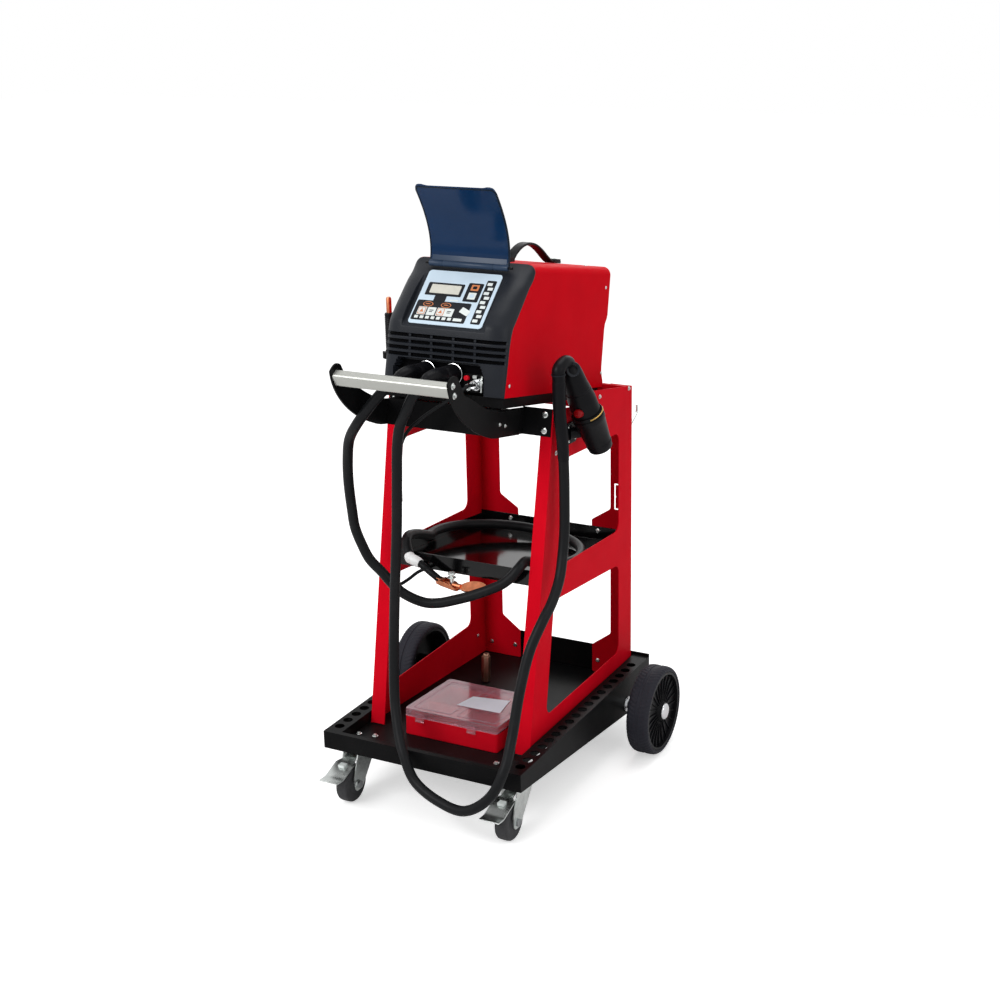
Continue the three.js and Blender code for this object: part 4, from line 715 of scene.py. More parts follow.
RED_POWDER = finish("red_powder_coat", (206, 10, 30), 0.36, tone=0.05, grain=1400.0, relief=0.10,
                    dust=0.01, specular=0.008)
RED_COVER = finish("red_cover_paint", (204, 6, 24), 0.44, tone=0.04, grain=2200.0, relief=0.16,
                   dust=0.006, specular=0.008)
BLACK_POWDER = finish("black_powder_coat", (13, 13, 14), 0.36, tone=0.14, grain=1500.0, relief=0.12,
                      dust=0.03, specular=0.05)
BLACK_GLOSS = finish("black_gloss_coat", (7, 7, 8), 0.1, tone=0.12, grain=1200.0, relief=0.02, dust=0.03,
                     spread=0.04, specular=0.3)
CHARCOAL = finish("charcoal_moulding", (27, 30, 36), 0.36, tone=0.06, grain=2600.0, relief=0.24, dust=0.02,
                  spread=0.08, specular=0.16)
BLACK_PLASTIC = finish("black_moulded_plastic", (14, 14, 17), 0.36, tone=0.1, grain=2400.0, relief=0.22,
                       dust=0.04, specular=0.1)
CABLE = finish("cable_rubber", (17, 18, 20), 0.42, tone=0.12, tone_scale=20.0, grain=1700.0, relief=0.24, dust=0.05,
               hair=0.1, hair_colour=(56, 58, 62), hair_scale=26.0, specular=0.12)
TYRE = finish("tyre_rubber", (34, 34, 42), 0.62, tone=0.12, grain=900.0, relief=0.4, dust=0.16,
              dust_colour=(92, 92, 100), specular=0.18)
CASTER_RUBBER = finish("caster_rubber", (60, 60, 62), 0.6, tone=0.12, grain=1100.0, relief=0.35,
                       dust=0.2, specular=0.18)
ALUMINIUM = finish("brushed_aluminium", (176, 177, 172), 0.42, 1.0, tone=0.03, grain=1800.0, relief=0.12, dust=0.03,
                   stretch=(1.0, 60.0, 60.0), hair_scale=24.0, brushed=1.2)
ZINC = finish("bright_zinc", (208, 212, 210), 0.28, 1.0, tone=0.16, tone_scale=34.0, grain=1300.0, relief=0.10,
              spread=0.12, dust=0.16, dust_colour=(96, 104, 102))
STEEL = finish("bare_steel", (150, 152, 154), 0.34, 1.0, tone=0.09, grain=1500.0, relief=0.10, hair=0.2,
               hair_colour=(206, 208, 210))
CHROME = finish("chrome_plate", (205, 206, 208), 0.1, 1.0, tone=0.04, grain=900.0, relief=0.02,
                spread=0.05, dust=0.05)
BRASS = finish("brass", (176, 142, 78), 0.28, 1.0, tone=0.14, tone_scale=40.0, relief=0.08, hair=0.2,
               hair_colour=(240, 214, 160), dust=0.3, dust_colour=(60, 44, 24))
BRONZE = finish("electrode_bronze", (150, 116, 98), 0.34, 1.0, tone=0.16, tone_scale=60.0, relief=0.1, dust=0.2,
                dust_colour=(70, 50, 40))
COPPER = finish("copper", (206, 128, 92), 0.36, 1.0, tone=0.22, tone_scale=60.0, relief=0.12, hair=0.25,
                hair_colour=(240, 178, 144), dust=0.3, dust_colour=(110, 58, 38))
WINDING = finish("varnished_winding", (150, 84, 44), 0.4, 0.5, tone=0.15, grain=500.0, relief=0.5)
SILVER_FILM = finish("pale_label_film", (200, 218, 232), 0.34, tone=0.05, tone_scale=18.0, grain=2000.0, relief=0.05,
                     dust=0.04, specular=0.3)
PRINT_BLACK = finish("black_print", (18, 20, 26), 0.38, tone=0.08, grain=2000.0, relief=0.04, dust=0.03, specular=0.2)
PRINT_ORANGE = finish("orange_print", (206, 124, 74), 0.4, tone=0.1, grain=2000.0, relief=0.04, dust=0.04)
PRINT_PALE = finish("pale_print", (222, 228, 226), 0.36, tone=0.05, grain=2000.0, relief=0.04, dust=0.04)
DISPLAY = finish("display_glass", (214, 212, 200), 0.12, tone=0.06, tone_scale=60.0, grain=2000.0,
                 relief=0.02, dust=0.03)
RED_PLASTIC = finish("red_moulded_plastic", (206, 8, 30), 0.3, tone=0.05, grain=1500.0, relief=0.08,
                     dust=0.03, specular=0.2)
DARK_RED = finish("dark_red_plastic", (150, 10, 18), 0.3, tone=0.08, grain=1500.0, relief=0.08,
                  dust=0.05, specular=0.2)
WHITE_SLEEVE = finish("white_shrink_sleeve", (240, 240, 240), 0.4, tone=0.03, relief=0.12, grain=700.0, dust=0.06)
PAPER = finish("paper_slip", (232, 230, 240), 0.75, tone=0.04, grain=2600.0, relief=0.15, dust=0.04)
# Near-black painted shade for the deep faces of the moulding's vent grooves and cable pocket
RECESS_PAINTED_SHADE = finish("painted_recess_shade", (7, 7, 9), 0.6, tone=0.1, relief=0.1, dust=0.04, specular=0.02)
VISOR_RIM = finish("visor_rim_navy", (16, 28, 42), 0.3, tone=0.06, grain=1200.0, relief=0.05, dust=0.02, specular=0.1)
HINGE_BLUE = finish("hinge_bar_blue", (46, 62, 84), 0.3, tone=0.06, grain=1200.0, relief=0.05,
                    dust=0.03, specular=0.2)
VISOR_TINT = finish("visor_tinted_sheet", (17, 50, 88), 0.1, tone=0.05, grain=700.0, relief=0.02, spread=0.05,
                    dust=0.02, dust_colour=(60, 80, 110), transmission=0.3, ior=1.45, specular=0.05)
CLEAR = finish("clear_lid_plastic", (250, 206, 217), 0.08, tone=0.03, grain=900.0, relief=0.03, spread=0.05,
               dust=0.06, dust_colour=(244, 236, 240), transmission=0.86, ior=1.46)

# Camera and light ---------------------------------------------------------------------------------
AZIMUTH, PITCH, ROLL = 0.492567, 0.319409, -0.0216926
away = np.array([math.sin(AZIMUTH) * math.cos(PITCH), -math.cos(AZIMUTH) * math.cos(PITCH), math.sin(PITCH)])
level = unit(np.cross(-away, [0, 0, 1]))
rise = np.cross(level, -away)
right = math.cos(ROLL) * level + math.sin(ROLL) * rise
up = -math.sin(ROLL) * level + math.cos(ROLL) * rise
lens = bpy.data.cameras.new("photograph_view")
lens.lens = 60.38
lens.sensor_width = 36
lens.clip_end = 60
viewer = linked("photograph_view", lens)
camera_at = Vector((1.5953, -2.9174, 1.7025))
viewer.matrix_world = Matrix(np.vstack([np.column_stack([right, up, away, camera_at]), [0, 0, 0, 1]]).tolist())
bpy.context.scene.camera = viewer


def lamp(name, at, aim, size, energy):
    """A square soft lamp that looks from one point to another."""
    light = bpy.data.lights.new(name, "AREA")
    light.size = size
    light.energy = energy
    item = linked(name, light)
    turn = (Vector(aim) - Vector(at)).to_track_quat("-Z", "Y")
    item.matrix_world = Matrix.Translation(at) @ turn.to_matrix().to_4x4()


lamp("key_softbox", (-1.2, -3.0, 2.7), (0, 0, 0.6), 1.6, 66)
lamp("right_softbox", (3.0, -0.8, 1.9), (0, 0, 0.6), 1.5, 12)
lamp("top_softbox", (0.2, 0.3, 3.4), (0, 0, 0.5), 1.8, 30)
lamp("rear_softbox", (-0.6, 3.2, 2.2), (0, 0, 0.7), 1.6, 20)

world = bpy.data.worlds.new("studio")
bpy.context.scene.world = world
world.use_nodes = True
sky = world.node_tree
seen = sky.nodes.new("ShaderNodeLightPath")
direct = sums(sky, "MAXIMUM", seen.outputs["Is Camera Ray"],
              sums(sky, "MAXIMUM", seen.outputs["Is Glossy Ray"], seen.outputs["Is Transmission Ray"]))
backdrop = sky.nodes["Background"]
backdrop.inputs["Color"].default_value = (1, 1, 1, 1)
sky.links.new(ramped(sky, direct, 0.0, 1.0, 0.55, 1.0), backdrop.inputs["Strength"])
bpy.context.scene.view_settings.view_transform = "Standard"

pale = bpy.data.materials.new("pale_floor")
pale.use_nodes = True
ground = pale.node_tree
cloth = ground.nodes["Principled BSDF"]
cloth.inputs["Base Color"].default_value = (0.93, 0.93, 0.93, 1)
cloth.inputs["Roughness"].default_value = 0.95
cloth.inputs["Specular IOR Level"].default_value = 0.0
cloth.inputs["Emission Color"].default_value = (1, 1, 1, 1)
ray = ground.nodes.new("ShaderNodeLightPath")
shown = sums(ground, "MAXIMUM", ray.outputs["Is Camera Ray"], ray.outputs["Is Transmission Ray"])
ground.links.new(ramped(ground, shown, 0.0, 1.0, 0.0, 0.5), cloth.inputs["Emission Strength"])
span = np.linspace(-14, 14, 3)
sheet_x, sheet_y = np.meshgrid(span, span, indexing="ij")
floor_points, floor_faces = woven(np.stack([sheet_x, sheet_y, np.zeros_like(sheet_x)], -1), around=False)
floor_mesh = bpy.data.meshes.new("studio_floor")
floor_mesh.from_pydata(floor_points.tolist(), [], floor_faces)
floor_mesh.materials.append(pale)
floor = linked("studio_floor", floor_mesh)

# Cables -------------------------------------------------------------------------------------------
CABLE_RADIUS = 10.5
SENSE_RADIUS = 3.5
GLAND_W = 36
earth_route = [
    (-38, 74, 927), (-46, 56, 921), (-60, 40, 908), (-77, 28, 888), (-97, 23, 864), (-125, 23, 829), (-157, 42, 789),
    (-175, 60, 743), (-184, 72, 691), (-187, 84, 627), (-187, 92, 586), (-176, 98, 548), (-163, 104, 517),
    (-138, 110, 490), (-114, 116, 462), (-89, 120, 445), (-49, 126, 433), (-17, 130, 436), (18, 134, 447),
    (49, 140, 458), (94, 150, 478), (117, 155, 491), (134, 164, 507), (144, 177, 523), (147, 196, 529),
    (150, 222, 519), (154, 252, 503)]
gun_route = [
    (22, 74, 927), (16, 56, 923), (5, 44, 909), (-8, 40, 890), (-23, 41, 862), (-43, 47, 826), (-54, 53, 787),
    (-60, 56, 714), (-68, 60, 608), (-77, 58, 480), (-79, 50, 374), (-71, 30, 251), (-46, 1, 188), (-27, -15, 158),
    (5, -30, 114), (71, -45, 89), (133, -54, 88), (187, -48, 128), (209, -29, 182), (206, 10, 229), (206, 50, 319),
    (212, 84, 392), (224, 120, 445), (227, 150, 468), (225, 190, 504), (222, 212, 545), (220, 226, 595),
    (217, 234, 658), (214, 239, 718), (210, 241, 778), (205, 240, 835), (204.5, 239, 880), (204.5, 239, 896)]
sense_route = [
    (72, 84, 899), (60, 72, 888), (30, 68, 868), (-6, 68, 842), (-44, 73, 808), (-66, 78, 764), (-78, 84, 700),
    (-90, 92, 600), (-98, 102, 540), (-112, 122, 492), (-124, 140, 462), (-122, 150, 453), (-105, 155, 464),
    (-85, 161, 481)]
tail_route = [
    (-143, 268, 522), (-140, 240, 531), (-136, 214, 536), (-130, 196, 533), (-121, 182, 524), (-111, 173, 513)]


def coil_path():
    """The loop round the middle tray: the angle runs on from -20 degrees by 220, the loop draws in and out again
    by the pitch per turn, and the height rises by one layer halfway, on a smooth step."""
    turned = np.linspace(0, 220, 41)
    angle = np.radians(turned - 20)
    inset = 22 * np.minimum(turned, 220 - turned) / 360
    climb = np.clip((turned - 110) / 180 + 0.5, 0, 1)
    height = 2.3 + CABLE_RADIUS + 20 * climb ** 2 * (3 - 2 * climb)
    return shelf(np.stack([(165 - inset) * np.cos(angle), 388 - 187.5 + (170 - inset) * np.sin(angle), height], 1))


coils = coil_path()
mouth = 8 - 4 - 0.3
SOCKET_X, SOCKET_W, SOCKET_MOUTH = 76, 21, 10 - 2 - 0.6 - 16
EARTH_X, GUN_X = -38, 22
earth_start, gun_start = ([head([x, out, GLAND_W]) for out in (mouth, mouth - 35)] for x in (EARTH_X, GUN_X))
sense_start = [head([SOCKET_X, out, SOCKET_W]) for out in (SOCKET_MOUTH, SOCKET_MOUTH - 14)]
# The stretch before the coil meets its first point in line with its first turn
approach = unit(coils[0] - coils[1])
earth_line = np.vstack([curve([*earth_start, *earth_route, coils[0] + approach * 21.3], 10)[:-1],
                        curve([*coils, *tail_route], 5)])
gun_line = curve([*gun_start, *gun_route], 10)
sense_line = curve([*sense_start, *sense_route, (-73, 163.4, 488)], 10)
print("cable lengths in mm:", [round(run_of(line), 1) for line in (earth_line, gun_line, sense_line)])


def cable(name, line, radius, count, sides, replaces):
    """A round cable: circles carried along its line at equal steps, closed at both ends."""
    path = spaced(line, count)
    item = piece(name, [tube(path, radius, sides)], "trolley", CABLE, replaces, smooth=60)


# Earth clamp: white sleeve over the ferrule, black grip, a folded copper jaw, its blade and screw
tail_end = np.array(tail_route[-1], float)
tail_way = unit(tail_end - np.array(tail_route[-2], float))
ferrule_start = tail_end + tail_way * 0.3
ferrule_end = ferrule_start + tail_way * 10
jaw_line = np.array([(-100, 168, 505), (-80, 165, 500), (-33, 160, 474), (16, 157, 466), (74, 158, 478)], float)
sleeve_out, grip_from, jaw_from, jaw_to, blade_to = jaw_line
sleeve_line = curve([ferrule_start, ferrule_end, sleeve_out, grip_from], 8)
ferrule = piece("earth_ferrule", [
    tube(sleeve_line, np.interp(np.linspace(0, 1, len(sleeve_line)), [0, 0.08, 0.3, 0.9, 1],
                                [9.4, 10.6, 11, 11, 9.6]), 28)],
    "trolley", WHITE_SLEEVE, "earth_clamp", smooth=50)
grip_length = apart(jaw_from, grip_from) + 8
grip = piece("earth_grip", [
    lathe([(0, 0), (0, 7.0), (2, 7.8), (5, 7.9), (6, 7.4), (9, 7.4), (10, 7.8), (22, 7.5), (23, 7.0), (26, 7.0),
           (27, 7.4), (grip_length - 2, 7.0), (grip_length, 6.2), (grip_length, 0)],
          grip_from - unit(jaw_from - grip_from) * 4, jaw_from, 28)], "trolley", CABLE, smooth=40)
jaw_way = unit(jaw_to - jaw_from)
jaw_side = unit(np.cross(jaw_way, [0, 0, 1]))
jaw_over = np.cross(jaw_side, jaw_way)


def jaw_plate(outline, low, high, origin, way, over, side):
    """A plate drawn along the clamp and across it."""
    points, faces = plate(outline, low, high)
    return origin + points[:, :1] * way + points[:, 1:2] * side + points[:, 2:] * over, faces


def channel():
    """The jaw: a U drawn across the clamp and carried along it, its lips lower towards the blade."""
    along = np.linspace(-2, 48, 18)[:, None]
    lip = np.interp(along, [-2, 6, 34, 48], [4, 12.5, 11.5, 3.5])
    wide = np.interp(along, [-2, 8, 40, 48], [8, 12.4, 11.6, 8])
    outer = np.array([(-1, 1), (-1, 0.2), (-0.72, 0), (0.72, 0), (1, 0.2), (1, 1)])
    inner = (outer * [0.8, 1])[::-1]
    loop = np.vstack([outer, inner])
    floor_lift = np.concatenate([np.zeros(6), [0, 2.4, 2.4, 2.4, 2.4, 0]])[None]
    side = loop[None, :, 0] * wide
    over = -8 + loop[None, :, 1] * lip + floor_lift * (loop[None, :, 1] < 0.9)
    points = jaw_from + along[..., None] * jaw_way + side[..., None] * jaw_side + over[..., None] * jaw_over
    return woven(points)


BLADE_TURN = math.radians(38)
blade_way = unit(blade_to - jaw_to)
blade_over = unit(np.cross(unit(np.cross(blade_way, [0, 0, 1])), blade_way))
blade_side = math.cos(BLADE_TURN) * jaw_side - math.sin(BLADE_TURN) * blade_over
blade_face = math.cos(BLADE_TURN) * blade_over + math.sin(BLADE_TURN) * jaw_side
blade_outline = np.vstack([[(-14, -4), (2, -4.5)], bezier([(2, -4.5), (12, -14), (34, -15), (56, -9),
    (63, 0)], 14)[1:],
                           bezier([(63, 0), (56, 9), (34, 15), (12, 14), (2, 4.5)], 14)[1:], [(-14, 4)]])
clamp = piece("clamp_jaws", [
    channel(),
    jaw_plate(rounded([(-6, -6.5), (12, -6.5), (12, 6.5), (-6, 6.5)], 3), -5, 5, jaw_from, jaw_way,
              jaw_over, jaw_side),
    jaw_plate(blade_outline, -3.2, 1.6, jaw_to, blade_way, blade_face, blade_side),
    lathe([(0, 0), (0, 5.4), (18, 5.4), (18, 0)], jaw_to - jaw_way * 16, jaw_to + blade_way * 6, 16)],
    "trolley", COPPER, bevel=0.5)
screw_foot = jaw_from + (jaw_to - jaw_from) * 0.62
screw_top = screw_foot + [0, 0, 26]
clamp_screw = piece("clamp_wing_screw", [
    rod(screw_foot + [0, 0, 0.4], screw_top - [0, 0, 5], 4.6, 20, 0.6),
    lathe([(0, 0), (0, 8.4), (0.6, 9.0), (1.6, 9.0), (2, 8.4), (2, 0)], screw_top - [0, 0, 12], screw_top, 24),
    lathe([(0, 0), (0, 7.6), (0.8, 8.4), (4.2, 8.4), (5, 7.6), (5, 0)], screw_top - [0, 0, 5], screw_top, 6)],
    "clamp_screw", ZINC, "clamp_screw", bevel=0.3)

cable("earth_lead", earth_line, CABLE_RADIUS, 760, 20, ["earth_cable", "earth_coil"])
cable("gun_lead", gun_line, CABLE_RADIUS, 420, 20, ["gun_cable"])
cable("sense_lead", sense_line, SENSE_RADIUS, 260, 14, ["sense_cable"])

# Base tray ----------------------------------------------------------------------------------------
HALF_BASE, LENGTH, LEDGE_IN, LEDGE_Z = 230, 640, 194, 162
SHEET = 2
DECK_HALF = 193.5
hole_y = np.arange(34, LENGTH - 32, 32)
ledge = plate(rectangle(LEDGE_IN, HALF_BASE, 0, LENGTH), LEDGE_Z - SHEET, LEDGE_Z,
              [circle(212, y, 10.4, 24) for y in hole_y])
axle_hole = circle(513, 98, 10.6, 24)
skirt = moved(plate([(0, SKIRT_Z), (LENGTH, skirt_at(LENGTH)), (LENGTH, LEDGE_Z), (0, LEDGE_Z)], HALF_BASE - SHEET,
                    HALF_BASE, [axle_hole]), upright)
inner = moved(plate([(0, DECK_Z - SHEET), (LENGTH, floor_at(LENGTH) - SHEET), (LENGTH, LEDGE_Z), (0, LEDGE_Z)],
                    LEDGE_IN - SHEET, LEDGE_IN), upright)
side_parts = [ledge, skirt, inner]
member_front, member_rear = floor_at(24), floor_at(96)
base_sheet = united(
    moved(plate([(0, DECK_Z - SHEET), (LENGTH, floor_at(LENGTH) - SHEET), (LENGTH, floor_at(LENGTH)), (0, DECK_Z)],
                -DECK_HALF, DECK_HALF), upright),
    *side_parts, *mirrored(side_parts),
    block((-HALF_BASE, HALF_BASE), (0, SHEET), (SKIRT_Z, LEDGE_Z)),
    block((-HALF_BASE, HALF_BASE), (LENGTH - SHEET, LENGTH), (skirt_at(LENGTH), 168)),
    block((-DECK_HALF, DECK_HALF), (0.5, 12), (LEDGE_Z - SHEET, LEDGE_Z)),
    block((-229, 229), (24, 96), (121, 123)),
    block((-229, 229), (24, 26), (121.5, member_front - 1)),
    block((-229, 229), (94, 96), (119, member_rear - 1)))
piece("base_tray_sheet", [base_sheet], "trolley", BLACK_POWDER, "base_tray", bevel=0.9, segments=3)

# Side frames --------------------------------------------------------------------------------------
HALF_FRAME, REAR = 189, 630
POST_TOP = -22
foot_z = floor_at(front_edge(DECK_Z)) + 0.3
top_front = head([0, POST_FRONT, POST_TOP])[1:]
window_rear = REAR - 68
bridge_top = float(head([0, 500, 5])[2])
side_outline = [(front_edge(foot_z), foot_z), (REAR, floor_at(REAR) + 0.3), (REAR, bridge_top),
                tuple(head([0, 300, 5])[1:]), tuple(head([0, 222, POST_TOP])[1:]), tuple(top_front)]
POST_WIDTH, WINDOW_CORNER = 66, 20
upper, lower = (rounded([(front_edge(low) + POST_WIDTH, low), (window_rear, low_rear), (window_rear, high_rear),
                         (front_edge(high) + POST_WIDTH, high)], WINDOW_CORNER, 10)
                for low, low_rear, high_rear, high in ((502, 484, 706, 722), (196, 196, 404, 436)))
side_sheet = moved(plate(side_outline, HALF_FRAME - SHEET, HALF_FRAME, [upper, lower]), upright)
post_foot = post_w(foot_z) + 2
front_flange = moved(moved(plate([(156, post_foot), (188.9, post_foot), (188.9, POST_TOP), (164, POST_TOP)],
                                 POST_FRONT, POST_FRONT + SHEET), facing), head)
flange_foot = floor_at(628) + 0.3
flange_line = rounded(
    [(188.9, flange_foot), (93, flange_foot), (93, 172), (139, 206), (139, 402), (93, 432), (93, 476), (139, 506),
     (139, bridge_top), (188.9, bridge_top)], [0, 4, 6, 10, 10, 6, 6, 10, 0, 0], 5)
slot_line = rounded([
    (148, 506), (162, 506), (162, 509.4), (151.4, 509.4), (151.4, 535), (154.4, 536.5), (151.4, 538), (151.4, 563.6),
    (162, 563.6), (162, 567), (148, 567)], 1.2, 3)
for side, sign, slots in (("right", 1, [slot_line]), ("left", -1, [])):
    sheet_parts = [united(side_sheet, front_flange, moved(plate(flange_line, 628, 629.9, slots), facing))]
    piece(f"side_frame_sheet_{side}", sided(sign, sheet_parts), "trolley",
          RED_POWDER, f"side_frame_{side}", bevel=0.8, segments=3)

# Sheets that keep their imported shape, with rounded edges
for node, slot, material, bevel, segments in (
        ("middle_tray", "black_sheet", BLACK_GLOSS, 0.7, 3), ("front_panel", "black_sheet", BLACK_POWDER, 0.7, 3),
        ("rear_bridge", "black_sheet", RED_POWDER, 0.7, 3), ("machine_pan", "black_sheet", BLACK_POWDER, 0.5, 2),
        ("machine_rear_panel", "black_sheet", BLACK_POWDER, 0.4, 2), ("transformer", "winding", WINDING, 1.0, 2),
        ("fan_frame", "black_plastic", BLACK_PLASTIC, 0.8, 2), ("fan_rotor", "black_plastic", BLACK_PLASTIC, 0.4, 2),
        ("main_switch", "black_plastic", BLACK_PLASTIC, 0.8, 2),
        ("mains_gland", "black_plastic", BLACK_PLASTIC, 0.6, 2),
        ("connector_plate", "steel", BLACK_POWDER, 0.3, 2), ("visor_pin", "steel", BLACK_PLASTIC, 0.3, 2)):
    refined(node, material, bevel, segments)

# Handle -------------------------------------------------------------------------------------------
BAR_U, BAR_W = -179, 24
arm_outline = np.vstack([
    [(100, -77), (100, -26), (13, -26)],
    bezier([(13, -26), (BAR_U + 120, -22), (BAR_U + 84, BAR_W - 18), (BAR_U + 46, BAR_W - 12)], 20)[1:],
    [(BAR_U + 14, BAR_W + 24)],
    bezier([(BAR_U + 14, BAR_W + 24), (BAR_U - 4, BAR_W + 34), (BAR_U - 20, BAR_W + 12)], 12)[1:],
    bezier([(BAR_U - 20, BAR_W + 12), (BAR_U - 6, BAR_W - 36), (BAR_U + 60, -55), (-33, -72)], 24)[1:],
    bezier([(-33, -72), (-15, -77), (5, -77)], 6)[1:]])
arm_plate = moved(moved(plate(arm_outline, 124.3, 128.3), upright), head)
slope = math.radians(38)


def on_bar(points):
    """Turns the bar's section to lie with the arms' noses, and carries it to its place."""
    x, u, w = np.moveaxis(np.asarray(points, float), -1, 0)
    c, s = math.cos(slope), math.sin(slope)
    return head(np.stack([x, BAR_U + u * c - w * s, BAR_W + u * s + w * c], -1))


bolt_spots = [(BAR_U - 3.5, BAR_W + 8.5), (BAR_U + 4.5, BAR_W - 9.5)]
for side, sign in SIDES:
    piece(f"handle_arm_plate_{side}", sided(sign, [arm_plate]), "trolley", BLACK_POWDER,
          f"handle_arm_{side}", bevel=0.8, segments=3)
bar_wall = plate(panel(-10.5, 10.5, -14, 14, 6, 8), -124, 124, [panel(-7.5, 7.5, -11, 11, 3.5, 6)])
piece("handle_tube", [moved(moved(bar_wall, upright), on_bar)], "trolley", ALUMINIUM,
      "handle_bar", bevel=0.4)

# Machine ------------------------------------------------------------------------------------------
COVER_HALF, COVER_TOP, ARCH = 135.0, 256, 18
FLAT_HALF = 93
# Height w, the face's u and the seam's u
nose_rows = np.array([
    [0, 3, 13.6], [35, 0, 17], [68, -1, 20], [107, -4, 24], [129, -3, 30], [151, 8, 46],
    [179, 30, 67], [208, 57, 88], [230, 82, 107], [245, 99, 112], [256, 110, 112]])


def smooth_through(at, known, values):
    """A smooth curve through values that never passes beyond its neighbours: cubic spans whose slopes are
    the harmonic mean of the two chords, and zero where the chords change sign."""
    h, chord = np.diff(known), np.diff(values) / np.diff(known)
    a, b = chord[:-1], chord[1:]
    between = np.where(a * b > 0, 2 * a * b / (a + b + 1e-12), 0)
    slopes = np.concatenate([[chord[0]], between, [chord[-1]]])
    i = np.clip(np.searchsorted(known, at, side="right") - 1, 0, len(h) - 1)
    t = (at - known[i]) / h[i]
    return ((1 + 2 * t) * (1 - t) ** 2 * values[i] + t * (1 - t) ** 2 * h[i] * slopes[i]
            + t * t * (3 - 2 * t) * values[i + 1] + t * t * (t - 1) * h[i] * slopes[i + 1])


def face_u(w):
    """How far back the moulding's face lies at a height."""
    return smooth_through(w, nose_rows[:, 0], nose_rows[:, 1])


def seam_u(w):
    """How far back the seam between moulding and cover lies at a height."""
    return smooth_through(w, nose_rows[:, 0], nose_rows[:, 2])


def half_width(w):
    """The cover's half width, drawn in along a quarter circle at the top edge."""
    over = np.clip(w - (COVER_TOP - ARCH), 0, ARCH)
    return COVER_HALF - ARCH + np.sqrt(np.clip(ARCH ** 2 - over ** 2, 0, None))


def step(value, at, soft):
    """0 before a place and 1 past it, over a soft width."""
    t = np.clip((value - at) / soft + 0.5, 0, 1)
    return t * t * (3 - 2 * t)


def band(value, low, high, soft):
    """1 between two places and 0 beyond them, over soft widths."""
    return step(value, low, soft) * (1 - step(value, high, soft))


vent_w = np.array([67, 79.7, 92.4, 105])
vent_posts = np.array([-74.0, -25.5, 23.0, 71.0])
VENT_HALF, VENT_END = 3.1, 137.0
CORNER_RUN = 56.0


def moulding_grid():
    """The moulding's front over s, the run across it, and the height w: flat in the middle and a quarter
    ellipse beyond, pushed back by the vents, the cable pocket and the sloping label field. It also gives the
    faces that lie deep in the vent grooves and the lower cable pocket, which take a near-black painted shade."""
    def lines(*groups):
        return np.unique(np.round(np.concatenate(groups), 3))

    s = lines(np.linspace(-FLAT_HALF - CORNER_RUN, FLAT_HALF + CORNER_RUN, 101),
              *[[c + d * (3.2 + o) for d in (-1, 1) for o in (-0.8, -0.2, 0.3, 0.8)] for c in vent_posts],
              [d * (VENT_END + o) for d in (-1, 1) for o in (-1.6, -0.6, 0.6, 1.6)],
              [d * (92 + o) for d in (-1, 1) for o in (-1.2, -0.4, 0.4, 1.2)],
              [e + o for e in (-111, 94) for o in (-1.2, -0.4, 0.4, 1.2)])
    w = lines(np.linspace(0, 256, 97),
              *[[c + d * (VENT_HALF + o) for d in (-1, 1) for o in (-0.9, -0.3, 0.3, 0.9)] for c in vent_w],
              [122 + o for o in (-1.5, -0.5, 0.5, 1.5)], [60 + o for o in (-1.2, -0.4, 0.4, 1.2)],
              np.linspace(238, 256, 9))
    s, w = np.meshgrid(s, w)
    phi = np.clip((np.abs(s) - FLAT_HALF) / CORNER_RUN, 0, 1) * math.pi / 2
    half = half_width(w)
    x = np.sign(s) * (np.minimum(np.abs(s), FLAT_HALF) * (half - 42) / FLAT_HALF + 42 * np.sin(phi))
    face, seam = face_u(w), seam_u(w)
    turn = seam - face
    u = face + turn * (1 - np.cos(phi))
    shade_mask = np.zeros_like(s)
    post = sum(band(s, at - 3.2, at + 3.2, 1.4) for at in vent_posts)
    for row in vent_w:
        mask = band(w, row - VENT_HALF, row + VENT_HALF, 1.3) * band(s, -VENT_END, VENT_END, 3.0) * (1 - 0.62 * post)
        x = x - np.sign(s) * 4.5 * mask * np.sin(phi)
        u = u + np.minimum(8.0, 0.8 * turn) * mask * np.cos(phi)
        shade_mask = np.maximum(shade_mask, mask)
    slope_u = LABEL_U + (w - LABEL_W) * LABEL_RUN / LABEL_RISE + 0.35
    field = band(np.abs(s), -1, 92, 1.6) * step(w, 122, 2.0) * (w < 250)
    u = np.where(slope_u > u, u + (slope_u - u) * field, u)
    chamfer = np.clip((w - 36) / 24, 0, 1) * 12
    pocket = band(x, -108 + chamfer, 94 - chamfer, 1.6) * (1 - step(w, 60, 1.6))
    u = np.where(u < 21.5, u + (21.5 - u) * pocket, u)
    shade_mask = np.maximum(shade_mask, pocket * (w < 58))
    return np.stack([x, u, w], -1), (shade_mask[:-1, :-1] + shade_mask[1:, 1:] > 1.3).ravel()


front_grid, painted_shade_faces = moulding_grid()
front_points, front_faces = moved(woven(front_grid, around=False, capped=False), head)
# Faces deep in the vents and the cable pocket take the second finish, a near-black painted shade
front_parts = [(front_points, [face for face, dark in zip(front_faces, painted_shade_faces) if dark == wanted], index)
               for index, wanted in enumerate((False, True))]
moulding = piece("front_moulding_shell", front_parts, "trolley", [CHARCOAL, RECESS_PAINTED_SHADE],
                 "front_moulding", smooth=38)
sheeted(moulding, 2.6, 1, -1)

# The cover's rear edge: height w and u
rear_edge = np.array([
    (0, 471.7), (13, 471.7), (22, 466), (34, 461.5), (44, 460), (124, 460), (136, 462), (146, 469),
    (154, 472), (256, 472)])


